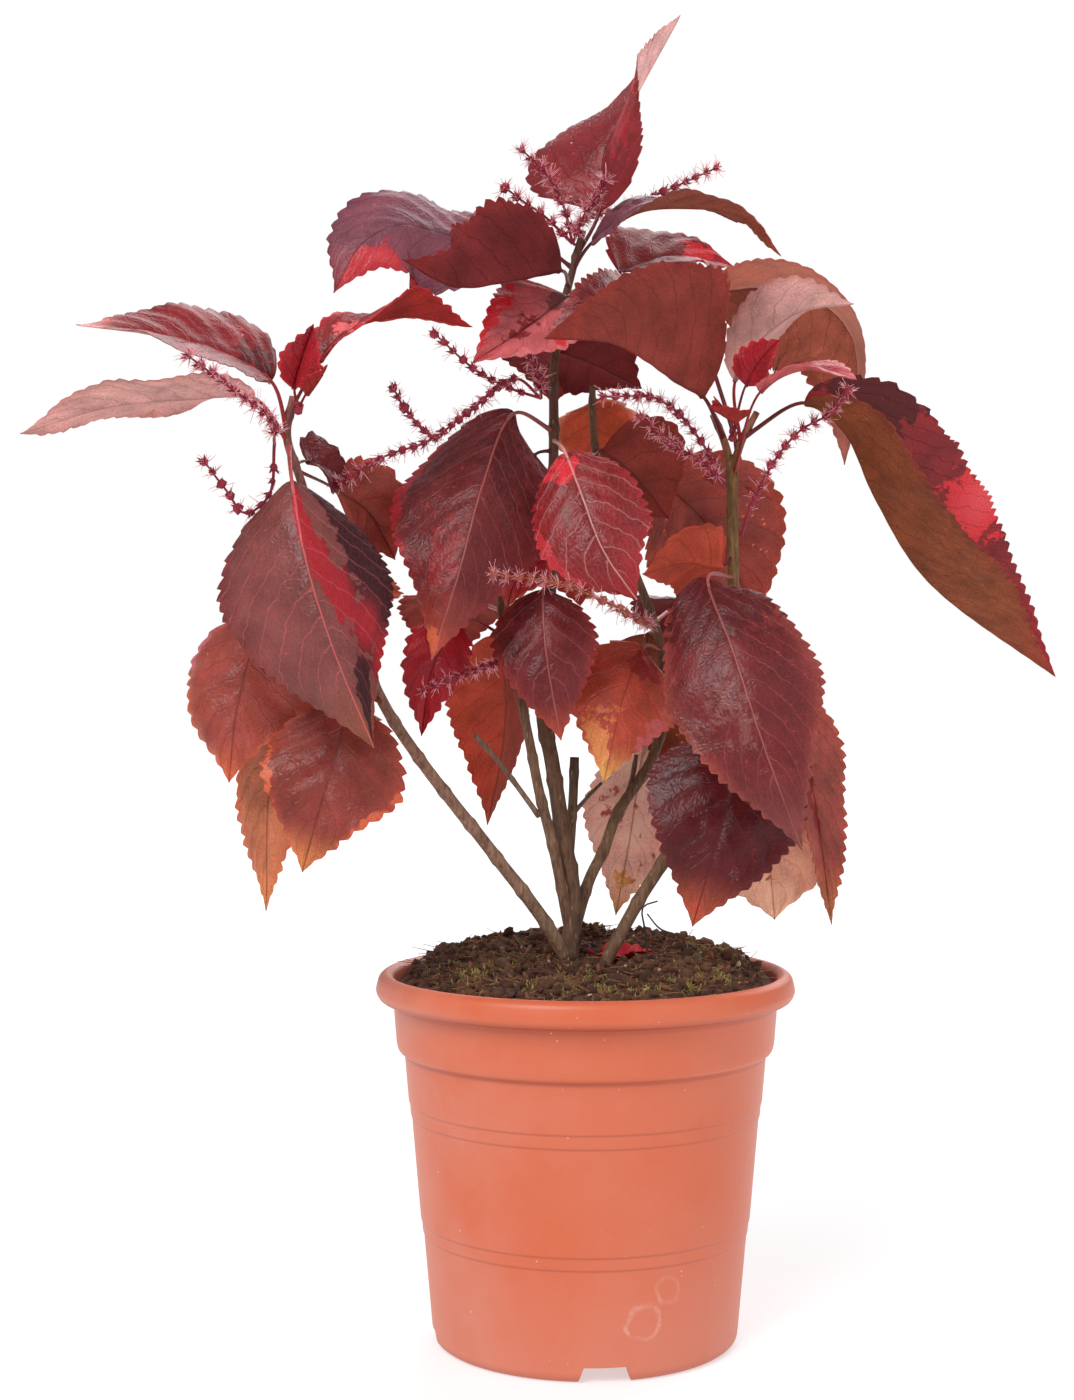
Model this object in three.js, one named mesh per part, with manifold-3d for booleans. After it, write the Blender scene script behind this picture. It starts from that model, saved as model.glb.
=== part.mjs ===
import * as THREE from 'three';
import { mergeVertices } from 'three/addons/utils/BufferGeometryUtils.js';
import Module from 'manifold-3d';

const wasm = await Module();
wasm.setup();

// Potted copperleaf in millimetres, +Z up. The origin is on the pot's axis at the surface it stands on.
// The plant's front, the side that is seen first, looks towards -Y.

// Driving dimensions of the pot
const POT_HEIGHT = 176;
const RIM_RADIUS = 100;
const WALL = 2.2;
const FOOT_RADIUS = 70;
const FOOT_INNER_RADIUS = 63;
const FOOT_HEIGHT = 8;
const FLOOR_TOP = 10.5;
const BODY_LOW_RADIUS = 73.2;
const BODY_LOW_HEIGHT = 8;
const BAND_BOTTOM = 137.6;
const BAND_BOTTOM_RADIUS = 86.2;
const BAND_RADIUS = 90;
const BAND_TOP = 162;
const BAND_TOP_RADIUS = 91.5;
const BAND_SHOULDER = 5;
const RIM_ROUNDING = 5;
const STEP_HEIGHTS = [51.6, 57.5, 107.1, 113.5];
const STEP_DEPTH = 0.4;
const STEP_RISE = 0.8;
const NOTCH_TOP_WIDTH = 19.5;
const NOTCH_FOOT_WIDTH = 25;
const NOTCH_HEIGHT = 7.4;
const NOTCH_INNER_RADIUS = 57;
const NOTCH_LENGTH = 26;
const NOTCH_COUNT = 4;
const FIRST_NOTCH_ANGLE = THREE.MathUtils.degToRad(-84);
const DRAIN_RADIUS = 6;
const DRAIN_CIRCLE_RADIUS = 42;
const DRAIN_SIDES = 10;
const ROUND_SIDES = 32;

// Driving dimensions of the plant
const GAP = 0.3;
const BLADE_THICKNESS = 1.0;
const PETIOLE_RADIUS = 1.15;
const EDGE_SHIFT = 0.002;
const TOOTH_REACH = 0.09;
const TOOTH_LEAN = 0.68;
const WAVES = 1.5;
const WAVE_SHIFT = 1.9;
const BUD_RADIUS = 3.2;
const BUD_SEAT = 0.92;
const CATKIN_AXIS_RADIUS = 0.8;
const WHORL_SPACING = 8;
const LOW_BRACT_SHARE = 0.45;
const SOIL_MIDDLE = 181;
const SOIL_EDGE_DROP = 11;
const SOIL_BACK_RISE = 0.08;
const SOIL_LUMP = 2.2;

const material = (colour, roughness) =>
  new THREE.MeshStandardMaterial({ color: colour, roughness, metalness: 0 });

const MATERIALS = {
  pot: material('#d9714e', 0.55),
  soil: material('#3a2a20', 0.95),
  bark: material('#6d5143', 0.8),
  crimson: material('#a3283a', 0.5),
  maroon: material('#6b2c33', 0.5),
  mauve: material('#7c4c56', 0.45),
  copper: material('#a4472f', 0.55),
  brown: material('#6c3a2d', 0.65),
  salmon: material('#c58678', 0.6),
  catkin: material('#b0506a', 0.8),
};

// Solids and booleans

function toSolid(geometry) {
  const plain = geometry.clone();
  plain.deleteAttribute('normal');
  plain.deleteAttribute('uv');
  const merged = mergeVertices(plain, 1e-4);
  const vertProperties = Float32Array.from(merged.attributes.position.array);
  const triVerts = Uint32Array.from(merged.index.array);
  const solid = new wasm.Manifold(new wasm.Mesh({ numProp: 3, vertProperties, triVerts }));
  if (solid.volume() >= 0) return solid;
  for (let i = 0; i < triVerts.length; i += 3) {
    [triVerts[i], triVerts[i + 1]] = [triVerts[i + 1], triVerts[i]];
  }
  return new wasm.Manifold(new wasm.Mesh({ numProp: 3, vertProperties, triVerts }));
}

function toGeometry(solid) {
  const mesh = solid.getMesh();
  const geometry = new THREE.BufferGeometry();
  geometry.setAttribute('position', new THREE.BufferAttribute(Float32Array.from(mesh.vertProperties), 3));
  geometry.setIndex(Array.from(mesh.triVerts));
  geometry.computeVertexNormals();
  return geometry;
}

const joined = (solids) => solids.reduce((whole, solid) => whole.add(solid));

function closedMesh(positions, triangles) {
  const geometry = new THREE.BufferGeometry();
  geometry.setAttribute('position', new THREE.Float32BufferAttribute(positions.flat(), 3));
  geometry.setIndex(triangles.flat());
  return toSolid(geometry);
}

const vector = (point) => new THREE.Vector3(...point);

// A tapered round tube along a curve through the points, closed at both ends. Each ring is carried
// on from the one before without twist. The radius of each corner comes from radiusAt(share of the
// length, corner, ring).
function tube(points, steps, sides, radiusAt) {
  const curve = new THREE.CatmullRomCurve3(points);
  const frames = curve.computeFrenetFrames(steps, false);
  const positions = [];
  const triangles = [];
  for (let j = 0; j <= steps; j += 1) {
    const centre = curve.getPointAt(j / steps);
    for (let k = 0; k < sides; k += 1) {
      const angle = (2 * Math.PI * k) / sides;
      const radius = radiusAt(j / steps, k, j);
      const out = frames.normals[j].clone().multiplyScalar(Math.cos(angle) * radius);
      out.addScaledVector(frames.binormals[j], Math.sin(angle) * radius);
      positions.push(centre.clone().add(out).toArray());
      if (j < steps) {
        const a = j * sides + k;
        const b = j * sides + ((k + 1) % sides);
        triangles.push([a, b, a + sides], [b, b + sides, a + sides]);
      }
    }
  }
  for (let k = 1; k < sides - 1; k += 1) {
    triangles.push([0, k + 1, k]);
    triangles.push([steps * sides, steps * sides + k, steps * sides + k + 1]);
  }
  return closedMesh(positions, triangles);
}

// Pot: one moulded plastic piece with a rolled rim, a band below it and a notched foot

function bodyRadius(height, stepsBelow) {
  const run = (height - BODY_LOW_HEIGHT) / (BAND_BOTTOM - BODY_LOW_HEIGHT);
  const taper = BAND_BOTTOM_RADIUS - BODY_LOW_RADIUS - STEP_HEIGHTS.length * STEP_DEPTH;
  return BODY_LOW_RADIUS + run * taper + stepsBelow * STEP_DEPTH;
}

const bodySteps = STEP_HEIGHTS.flatMap((height, count) => [
  [bodyRadius(height, count), height],
  [bodyRadius(height, count + 1), height + STEP_RISE],
]);

const potInside = [
  [BAND_TOP_RADIUS - WALL, BAND_TOP],
  [BAND_RADIUS - WALL, BAND_BOTTOM + BAND_SHOULDER],
  [BAND_BOTTOM_RADIUS - WALL, BAND_BOTTOM - 1],
  [BODY_LOW_RADIUS - WALL, FLOOR_TOP],
];

const potProfile = [
  [0, FOOT_HEIGHT],
  [FOOT_INNER_RADIUS - 1, FOOT_HEIGHT],
  [FOOT_INNER_RADIUS, 0],
  [FOOT_RADIUS, 0],
  [BODY_LOW_RADIUS - 0.6, 2.4],
  [BODY_LOW_RADIUS, BODY_LOW_HEIGHT],
  ...bodySteps,
  [BAND_BOTTOM_RADIUS, BAND_BOTTOM],
  [BAND_RADIUS - 0.8, BAND_BOTTOM + 1.4],
  [BAND_RADIUS, BAND_BOTTOM + BAND_SHOULDER],
  [BAND_TOP_RADIUS, BAND_TOP],
  [RIM_RADIUS - 2, BAND_TOP + 1.2],
  [RIM_RADIUS, BAND_TOP + RIM_ROUNDING],
  [RIM_RADIUS - 1.6, POT_HEIGHT - 2.4],
  [RIM_RADIUS - RIM_ROUNDING, POT_HEIGHT],
  [RIM_RADIUS - 8.6, POT_HEIGHT - 2],
  ...potInside,
  [0, FLOOR_TOP],
];

// The profile is turned about the Y axis, then stood up so that the axis is Z.
function turned(profile) {
  const geometry = new THREE.LatheGeometry(profile.map(([r, z]) => new THREE.Vector2(r, z)), ROUND_SIDES);
  geometry.rotateX(Math.PI / 2);
  return geometry;
}

function footNotch(angle) {
  const outline = new THREE.Shape([
    new THREE.Vector2(-NOTCH_FOOT_WIDTH / 2, -1),
    new THREE.Vector2(NOTCH_FOOT_WIDTH / 2, -1),
    new THREE.Vector2(NOTCH_TOP_WIDTH / 2, NOTCH_HEIGHT),
    new THREE.Vector2(-NOTCH_TOP_WIDTH / 2, NOTCH_HEIGHT),
  ]);
  const geometry = new THREE.ExtrudeGeometry(outline, { depth: NOTCH_LENGTH, bevelEnabled: false });
  geometry.rotateX(Math.PI / 2);
  geometry.rotateZ(Math.PI);
  geometry.translate(0, NOTCH_INNER_RADIUS, 0);
  geometry.rotateZ(angle - Math.PI / 2);
  return toSolid(geometry);
}

function drainHole(angle) {
  const geometry = new THREE.CylinderGeometry(DRAIN_RADIUS, DRAIN_RADIUS, 2 * FLOOR_TOP, DRAIN_SIDES);
  geometry.rotateX(Math.PI / 2);
  geometry.translate(DRAIN_CIRCLE_RADIUS, 0, FLOOR_TOP);
  geometry.rotateZ(angle);
  return toSolid(geometry);
}

function potSolid() {
  let pot = toSolid(turned(potProfile));
  for (let i = 0; i < NOTCH_COUNT; i += 1) {
    const angle = FIRST_NOTCH_ANGLE + (i * 2 * Math.PI) / NOTCH_COUNT;
    pot = pot.subtract(footNotch(angle));
    pot = pot.subtract(drainHole(angle + Math.PI / NOTCH_COUNT));
  }
  return pot;
}

// Woody stems: each is a list of points on its centre line with the radius at both ends.
// The trunk and the limbs that fork from it are one solid, and the right stem stands by itself.

const TRUNK_LIMBS = [
  { radii: [5.2, 1.6], points: [
    [-7, -8, 140], [-8, -7, 178], [-6, -4, 210], [-11, -4, 243], [-16, -3, 276], [-20, -2, 298],
    [-18, -1, 333], [-16, 0, 371], [-15, 3, 426], [-14, 8, 474], [-5, 9, 514], [-1, 10, 529]] },
  { radii: [3.6, 1.8], points: [
    [-8, -8, 180], [-19, -14, 200], [-45, -28, 236], [-63, -38, 260], [-78, -48, 281],
    [-93, -58, 306], [-113, -70, 355], [-127, -79, 403], [-133, -80, 423], [-130, -80, 440]] },
  { radii: [3.2, 1.6], points: [
    [-7, -6, 194], [-15, -10, 234], [-22, -12, 262], [-27, -13, 288], [-34, -14, 321],
    [-40, -14, 347], [-38, -12, 371]] },
  { radii: [3.2, 1.6], points: [
    [-6, -2, 192], [2, 6, 218], [9, 9, 232], [16, 12, 250], [31, 12, 273], [37, 14, 290],
    [38, 14, 309], [36, 14, 333], [22, 16, 372], [8, 22, 411], [4, 24, 440], [4, 24, 457]] },
  { radii: [1.6, 1.0], points: [[17, 12, 251], [22, 13, 263], [25, 13, 278]] },
  { radii: [2.6, 2.2], points: [[-8, -4, 228], [-6, 5, 252], [-5, 8, 277]] },
  { radii: [1.2, 0.7], points: [[-5, 4, 251], [2, 4, 259], [8, 4, 265]] },
  { radii: [1.5, 1.1], points: [[-22, -11, 250], [-40, -20, 275], [-52, -26, 289]] },
];

const RIGHT_LIMBS = [
  { radii: [3.4, 2.7], points: [
    [4, -22, 150], [9, -20, 181], [16, -19, 195], [25, -17, 211], [39, -15, 234], [54, -11, 272],
    [65, -6, 314], [70, -1, 357], [70, 1, 390], [70, 3, 421]] },
  { radii: [2.3, 1.6], points: [[70, 2, 414], [66, 4, 429], [61, 6, 441]] },
  { radii: [2.3, 1.6], points: [[70, 2, 414], [75, 4, 429], [82, 6, 442]] },
];

const ALL_LIMBS = [...TRUNK_LIMBS, ...RIGHT_LIMBS];
const STEM_SIDES = 8;

const limbSteps = (points) => points.length + 2;

function limb({ radii, points }, growth) {
  const radiusAt = (share) => radii[0] + (radii[1] - radii[0]) * share + growth;
  return tube(points.map(vector), limbSteps(points), STEM_SIDES, radiusAt);
}

const stemSolid = (limbs, growth) => joined(limbs.map((each) => limb(each, growth)));

// Points about 1 mm apart along the straight runs of every stem, with the stem's radius there
const stemSamples = ALL_LIMBS.flatMap(({ radii, points }) => {
  const curve = new THREE.CatmullRomCurve3(points.map(vector));
  const steps = limbSteps(points);
  const perStep = Math.ceil(curve.getLength() / steps);
  const count = steps * perStep;
  return Array.from({ length: count + 1 }, (_, i) => {
    const step = Math.min(Math.floor(i / perStep), steps - 1);
    const [from, to] = [step, step + 1].map((j) => curve.getPointAt(j / steps));
    return {
      centre: from.lerp(to, i / perStep - step),
      radius: radii[0] + ((radii[1] - radii[0]) * i) / count,
    };
  });
});

const nearestStem = (point) => stemSamples.reduce((best, sample) =>
  (sample.centre.distanceTo(point) < best.centre.distanceTo(point) ? sample : best));

// How far the point lies outside the nearest stem
const beyondStems = (point) =>
  Math.min(...stemSamples.map(({ centre, radius }) => centre.distanceTo(point) - radius));

// A bud sits against the nearest stem, on the side where the point lies.
function budPlace(point) {
  const { centre, radius } = nearestStem(vector(point));
  const outward = vector(point).sub(centre).setLength(radius + GAP + BUD_SEAT * BUD_RADIUS);
  return centre.clone().add(outward).toArray();
}

const stemClearance = stemSolid(ALL_LIMBS, GAP);

// Leaves: a leaf is a blade about its midrib, with the petiole in the same piece.
// Columns: name, colour, points of the rib (on the stem, blade base, bends, tip), blade width, share of
// the rib where it is widest, upward direction of the blade at its base and at its tip, fold of its left
// and right half in degrees (plus is up), further curl of each half in degrees, and height of the waves
// in its margin.

const LEAVES = [
  ['top_leaf', 'crimson', [[-4, 9, 516], [7, 14, 539], [10, 22, 570], [27, 34, 604], [48, 50, 643]],
    80, 0.22, [-0.3, -0.95, 0.2], [-0.9, 0, 0.4], [0, 36], [0, 0], 3],
  ['upper_left_leaf', 'mauve', [[-4, 9, 510], [-28, 6, 526], [-62, 5, 526], [-88, -2, 530], [-105, -10, 520],
    [-118, -18, 495]], 66, 0.45, [0, -0.45, 0.9], [-0.3, -0.6, 0.8], [-42, 5], [0, 15], 4],
  ['upper_left_curled_leaf', 'brown', [[-5, 7, 503], [-12, -16, 506], [-34, -36, 499], [-61, -48, 494],
    [-84, -52, 505]], 74, 0.4, [0, 0.2, 1], [0, 0.2, 1], [70, 55], [10, 20], 3],
  ['upper_right_leaf', 'mauve', [[-4, 9, 511], [3, 2, 522], [23, -8, 535], [48, -20, 535], [71, -30, 529],
    [89, -36, 509]], 60, 0.36, [-0.3, -0.5, 0.8], [0.2, 0.3, 0.9], [0, 5], [0, 0], 2],
  ['red_splotched_leaf', 'crimson', [[-6, 7, 494], [-8, -6, 496], [-26, -22, 480], [-53, -36, 460]],
    50, 0.36, [-0.3, -0.9, 0.3], [-0.3, -0.9, 0.3], [10, 10], [0, 0], 2],
  ['round_brown_leaf', 'brown', [[65, 5, 429], [55, -16, 447], [41, -34, 453], [26, -56, 460], [9, -84, 464],
    [-20, -120, 460]], 102, 0.3, [0.5, 0.2, 0.9], [0.1, 0.2, 1], [65, 52], [15, 5], 3],
  ['right_back_red_leaf', 'crimson', [[-8, 9, 498], [18, 46, 516], [45, 64, 527], [78, 76, 523]],
    54, 0.36, [0, -0.6, 0.8], [0, -0.6, 0.8], [10, 10], [0, 0], 3],
  ['right_arched_leaf', 'brown', [[72, 6, 423], [60, 30, 497], [87, 38, 506], [114, 46, 502], [133, 52, 484],
    [136, 56, 454], [131, 58, 421]], 80, 0.45, [0, 1, 0.3], [0, 1, 0.1], [0, 72], [0, 0], 3],
  ['right_pale_leaf', 'salmon', [[71, 4, 428], [71, -2, 456], [84, -8, 476], [100, -13, 487],
    [125, -18, 490]], 56, 0.4, [0.3, 0.85, 0.4], [0.3, 0.85, 0.4], [76, 50], [0, 0], 3],
  ['right_pink_leaf', 'salmon', [[70, 1, 410], [81, -21, 449], [99, -36, 458], [122, -50, 451]],
    32, 0.5, [0, 0.5, 0.8], [0.2, 0.2, 0.9], [42, -30], [0, 0], 2],
  ['right_drooping_leaf', 'maroon', [[75, 4, 430], [104, 0, 446], [124, 4, 434], [141, 13, 402],
    [168, 30, 364], [238, 60, 315]], 101, 0.52, [0.7, 0, 0.7], [0.75, 0, 0.65], [82, 25], [0, 0], 4],
  ['far_left_upper_leaf', 'maroon', [[-134, -80, 425], [-139, -86, 446], [-159, -91, 458],
    [-188, -100, 465], [-219, -112, 467]], 66, 0.3, [0.4, -0.35, 0.87], [0, -0.2, 1], [0, 20], [0, 0], 2],
  ['far_left_lower_leaf', 'salmon', [[-134, -80, 420], [-146, -94, 438], [-173, -106, 437],
    [-205, -118, 432], [-239, -130, 419]], 60, 0.5, [0.1, 0.1, 1], [0, 0.45, 0.9], [0, 5], [0, 0], 4],
  ['left_slim_leaf', 'crimson', [[-131, -80, 433], [-119, -77, 456], [-106, -74, 471], [-82, -66, 478],
    [-52, -56, 474]], 38, 0.5, [-0.2, -0.5, 0.8], [0, 0.5, 0.8], [15, 15], [0, 0], 3],
  ['left_front_leaf', 'mauve', [[-133, -80, 418], [-129, -98, 402], [-122, -115, 369], [-109, -124, 329],
    [-92, -120, 287]], 94, 0.4, [-0.25, -0.95, 0.1], [-0.2, -0.95, 0.1], [-54, -5], [-10, -15], 2],
  ['left_small_dark_leaf', 'maroon', [[-131, -79, 410], [-125, -65, 413], [-118, -56, 411],
    [-107, -48, 405]], 34, 0.36, [0, -0.8, 0.6], [0, -0.8, 0.6], [5, 5], [0, 0], 1],
  ['left_low_orange_leaf', 'copper', [[-113, -68, 351], [-143, -70, 340], [-155, -76, 307],
    [-159, -80, 270]], 68, 0.36, [-0.3, -0.9, 0.3], [-0.3, -0.9, 0], [-30, 10], [0, -40], 3],
  ['left_low_tip_leaf', 'copper', [[-97, -60, 313], [-126, -58, 306], [-142, -60, 273], [-145, -62, 211]],
    54, 0.3, [-0.6, -0.7, 0.2], [-0.6, -0.7, 0], [-10, 0], [0, 0], 2],
  ['left_low_maroon_leaf', 'maroon', [[-92, -58, 306], [-104, -78, 306], [-113, -91, 276],
    [-125, -97, 232]], 62, 0.45, [-0.1, -1, 0.2], [-0.1, -1, 0.1], [0, 0], [-10, -10], 3],
  ['left_back_red_leaf', 'copper', [[-131, -79, 407], [-115, -42, 402], [-101, -18, 392], [-90, -8, 371]],
    46, 0.4, [-0.1, -0.9, 0.3], [-0.1, -0.9, 0.3], [5, 5], [0, 0], 2],
  ['centre_left_leaf', 'maroon', [[-15, 4, 432], [-33, -12, 440], [-48, -46, 404], [-58, -64, 364],
    [-70, -68, 324]], 84, 0.45, [-0.35, -0.9, 0.15], [-0.3, -0.9, 0.1], [-58, 0], [0, -10], 2],
  ['centre_grey_leaf', 'mauve', [[-15, 4, 424], [-24, -4, 421], [-34, -8, 404], [-41, -8, 373]],
    50, 0.36, [0.1, -0.9, 0.3], [0.1, -0.95, 0.2], [0, 0], [0, 0], 2],
  ['centre_slim_red_leaf', 'crimson', [[-37, -13, 335], [-58, -30, 343], [-71, -40, 320], [-76, -42, 289]],
    30, 0.36, [0, -1, 0.1], [0, -1, 0.1], [0, 10], [0, 0], 1],
  ['centre_serrated_leaf', 'copper', [[-39, -14, 345], [-42, 0, 335], [-38, 8, 308], [-40, 12, 278],
    [-47, 12, 244]], 62, 0.4, [0.3, 0.9, 0.1], [0.3, 0.9, 0.1], [5, 86], [0, 0], 2],
  ['centre_red_leaf', 'crimson', [[-14, 3, 429], [-10, -28, 420], [-3, -46, 400], [7, -58, 373],
    [22, -60, 351]], 58, 0.55, [-0.1, -0.95, 0.3], [-0.1, -0.95, 0.2], [-10, -5], [-10, -20], 3],
  ['centre_maroon_leaf', 'maroon', [[-16, 0, 367], [-20, -22, 357], [-19, -38, 329], [-12, -44, 287]],
    50, 0.4, [0, -1, 0.1], [0, -1, 0.1], [-10, -15], [0, 0], 2],
  ['centre_curled_leaf', 'copper', [[-17, 1, 389], [-21, -18, 382], [-31, -29, 368], [-37, -35, 348]],
    34, 0.4, [0.1, -0.9, 0.3], [0.1, -0.9, 0.3], [-20, 10], [0, 0], 2],
  ['centre_orange_leaf', 'copper', [[34, 12, 328], [28, -2, 330], [17, -24, 305], [8, -32, 267]],
    54, 0.4, [-0.1, -1, 0.1], [-0.1, -1, 0], [-25, -5], [0, 0], 2],
  ['centre_taupe_leaf', 'brown', [[4, 24, 423], [8, 14, 424], [23, 6, 413], [40, 2, 391]],
    60, 0.4, [0.15, 0.95, 0.1], [0.15, 0.95, 0.1], [5, 5], [0, 0], 2],
  ['right_centre_leaf', 'copper', [[8, 24, 416], [35, 30, 411], [63, 36, 387], [87, 40, 342]],
    76, 0.4, [-0.1, -0.9, 0.3], [-0.1, -0.9, 0.3], [5, 5], [0, 0], 3],
  ['right_mid_brown_leaf', 'copper', [[70, 0, 373], [64, -8, 368], [46, -16, 370], [26, -22, 364]],
    46, 0.36, [0, 0.7, 0.7], [0, 0.7, 0.7], [5, 5], [0, 0], 2],
  ['centre_back_olive_leaf', 'brown', [[37, 14, 333], [32, 34, 336], [33, 50, 294], [29, 54, 242]],
    76, 0.36, [0, -1, 0.1], [0, -1, 0.1], [5, 5], [0, 0], 2],
  ['centre_back_orange_leaf', 'copper', [[4, 24, 445], [5, 44, 452], [7, 56, 436], [9, 60, 412]],
    46, 0.4, [0, -1, 0.1], [0, -1, 0.1], [5, 5], [0, 0], 2],
  ['centre_back_grey_leaf', 'mauve', [[-14, 8, 474], [-11, 18, 473], [7, 34, 468], [29, 46, 458]],
    46, 0.4, [0, 0.7, 0.6], [0, 0.7, 0.6], [5, 5], [0, 0], 2],
  ['right_front_leaf', 'mauve', [[70, -1, 363], [56, -30, 362], [65, -62, 328], [77, -78, 287],
    [94, -82, 240]], 74, 0.42, [0, -1, 0.1], [-0.1, -1, 0.1], [-12, -8], [-10, -10], 3],
  ['right_low_maroon_leaf', 'maroon', [[62, -8, 310], [76, -22, 292], [62, -40, 248], [48, -46, 202]],
    76, 0.4, [-0.05, -1, 0.1], [-0.05, -1, 0.1], [0, 0], [-10, -10], 3],
  ['right_low_orange_leaf', 'copper', [[65, -2, 328], [77, 10, 276], [88, 16, 236], [92, 14, 198]],
    76, 0.55, [0, -1, 0.1], [0, -1, 0.1], [5, 5], [0, 0], 3],
  ['right_low_edge_leaf', 'copper', [[70, 0, 350], [100, 4, 308], [110, 4, 257], [117, -6, 198]],
    39, 0.4, [0.6, -0.7, 0.1], [0.5, -0.8, 0], [10, 20], [0, 0], 3],
  ['centre_low_salmon_leaf', 'salmon', [[36, 13, 286], [30, 30, 280], [23, 38, 236], [16, 40, 197]],
    50, 0.36, [0, -1, 0.1], [0, -1, 0.1], [5, 5], [0, 0], 2],
  ['back_top_leaf', 'maroon', [[-10, 9, 490], [-14, 40, 494], [-16, 80, 488], [-14, 124, 458]],
    70, 0.36, [0, 0.1, 1], [0, 0.4, 0.9], [10, 10], [-10, -10], 3],
  ['back_right_leaf', 'maroon', [[67, -4, 335], [72, 46, 336], [70, 88, 329], [68, 130, 298]],
    56, 0.36, [0, 0.1, 1], [0, 0.6, 0.8], [10, 10], [-10, -10], 3],
  ['back_left_leaf', 'copper', [[-113, -70, 355], [-118, -40, 362], [-122, 0, 352], [-124, 42, 322]],
    66, 0.36, [0, 0.1, 1], [0, 0.6, 0.8], [10, 10], [-10, -10], 3],
  ['back_lower_leaf', 'maroon', [[36, 14, 343], [52, 62, 353], [62, 100, 346], [70, 142, 314]],
    68, 0.36, [0, 0.1, 1], [0, 0.6, 0.8], [10, 10], [-10, -10], 3],
  ['back_centre_leaf', 'mauve', [[-16, 0, 371], [-12, 44, 380], [-6, 84, 378], [0, 124, 352]],
    66, 0.36, [0, 0.1, 1], [0, 0.6, 0.8], [10, 10], [-10, -10], 3],
  ['back_mid_left_leaf', 'maroon', [[-40, -14, 347], [-56, 28, 352], [-66, 62, 346], [-72, 100, 318]],
    56, 0.36, [0, 0.1, 1], [0, 0.6, 0.8], [10, 10], [-10, -10], 3],
];

// One leaf has dropped and lies in a dent of the soil. Columns: those of LEAVES from the points on.
const FALLEN_LEAF = [[[1, 0, 185], [6, 0, 183], [17, 1, 180.5], [33, 3, 185]],
  22, 0.4, [0, -0.2, 1], [0, -0.2, 1], [28, 30], [10, 10], 1];

// Young leaves at a shoot tip share one bud. Columns: name, colour, bud, and for each leaf the columns of
// LEAVES from the points on, without the point on the stem: they start in the bud.
const RIGHT_BUD = budPlace([71, -6, 430]);
const LEFT_BUD = budPlace([-127, -85, 434]);

const YOUNG_LEAVES = [
  ['right_young_leaves', 'crimson', RIGHT_BUD, [
    [[[75, -11, 453], [82, -16, 465], [90, -21, 473]],
      24, 0.4, [-0.5, -0.8, 0.3], [-0.5, -0.8, 0.3], [10, 10], [0, 0], 1],
    [[[70, -19, 435], [63, -29, 438], [56, -36, 440]],
      21, 0.4, [0, -0.4, 0.9], [0, -0.4, 0.9], [30, 30], [0, 0], 1],
  ]],
  ['left_young_leaves', 'crimson', LEFT_BUD, [
    [[[-129, -86, 443], [-125, -89, 457], [-120, -92, 470]],
      20, 0.4, [0.3, -0.9, 0.2], [0.3, -0.9, 0.2], [20, 30], [0, 0], 1],
    [[[-123, -93, 440], [-118, -99, 445], [-113, -104, 451]],
      12, 0.4, [0.3, -0.5, 0.8], [0.3, -0.5, 0.8], [20, 20], [0, 0], 1],
  ]],
];

// Half-width of the blade as a share: round at the base and drawn out at the tip
function bladeProfile(u, widest) {
  if (u < widest) return (1 - (1 - u / widest) ** 2) ** 0.65;
  return (1 - ((u - widest) / (1 - widest)) ** 1.6) ** 1.25;
}

function bladeSurface({ points, width, widest, upward, fold, curl, wave }) {
  const curve = new THREE.CatmullRomCurve3(points);
  const divisions = 60;
  curve.arcLengthDivisions = divisions * (points.length - 1);
  const lengths = curve.getLengths();
  const baseShare = lengths[divisions] / lengths[lengths.length - 1];
  const [baseUp, tipUp] = upward.map(vector);
  const frameAt = (share, u) => {
    const along = curve.getTangentAt(share);
    const up = baseUp.clone().lerp(tipUp, u);
    up.addScaledVector(along, -up.dot(along)).normalize();
    return { centre: curve.getPointAt(share), up, side: along.clone().cross(up) };
  };
  const pointAt = (u, v) => {
    const { centre, up, side } = frameAt(baseShare + (1 - baseShare) * u, u);
    const half = v < 0 ? 0 : 1;
    const reach = Math.abs(v);
    const start = THREE.MathUtils.degToRad(fold[half]);
    const bend = THREE.MathUtils.degToRad(curl[half] || 0.1);
    const across = (Math.sin(start + bend * reach) - Math.sin(start)) / bend;
    const rise = (Math.cos(start) - Math.cos(start + bend * reach)) / bend;
    const profile = bladeProfile(u, widest);
    const halfWidth = (width / 2) * profile;
    const ripple = wave * reach ** 2 * Math.sin(2 * Math.PI * WAVES * u + WAVE_SHIFT * half) * profile;
    return centre
      .addScaledVector(side, Math.sign(v) * across * halfWidth)
      .addScaledVector(up, rise * halfWidth + ripple);
  };
  return { frameAt, pointAt, baseShare };
}

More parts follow.
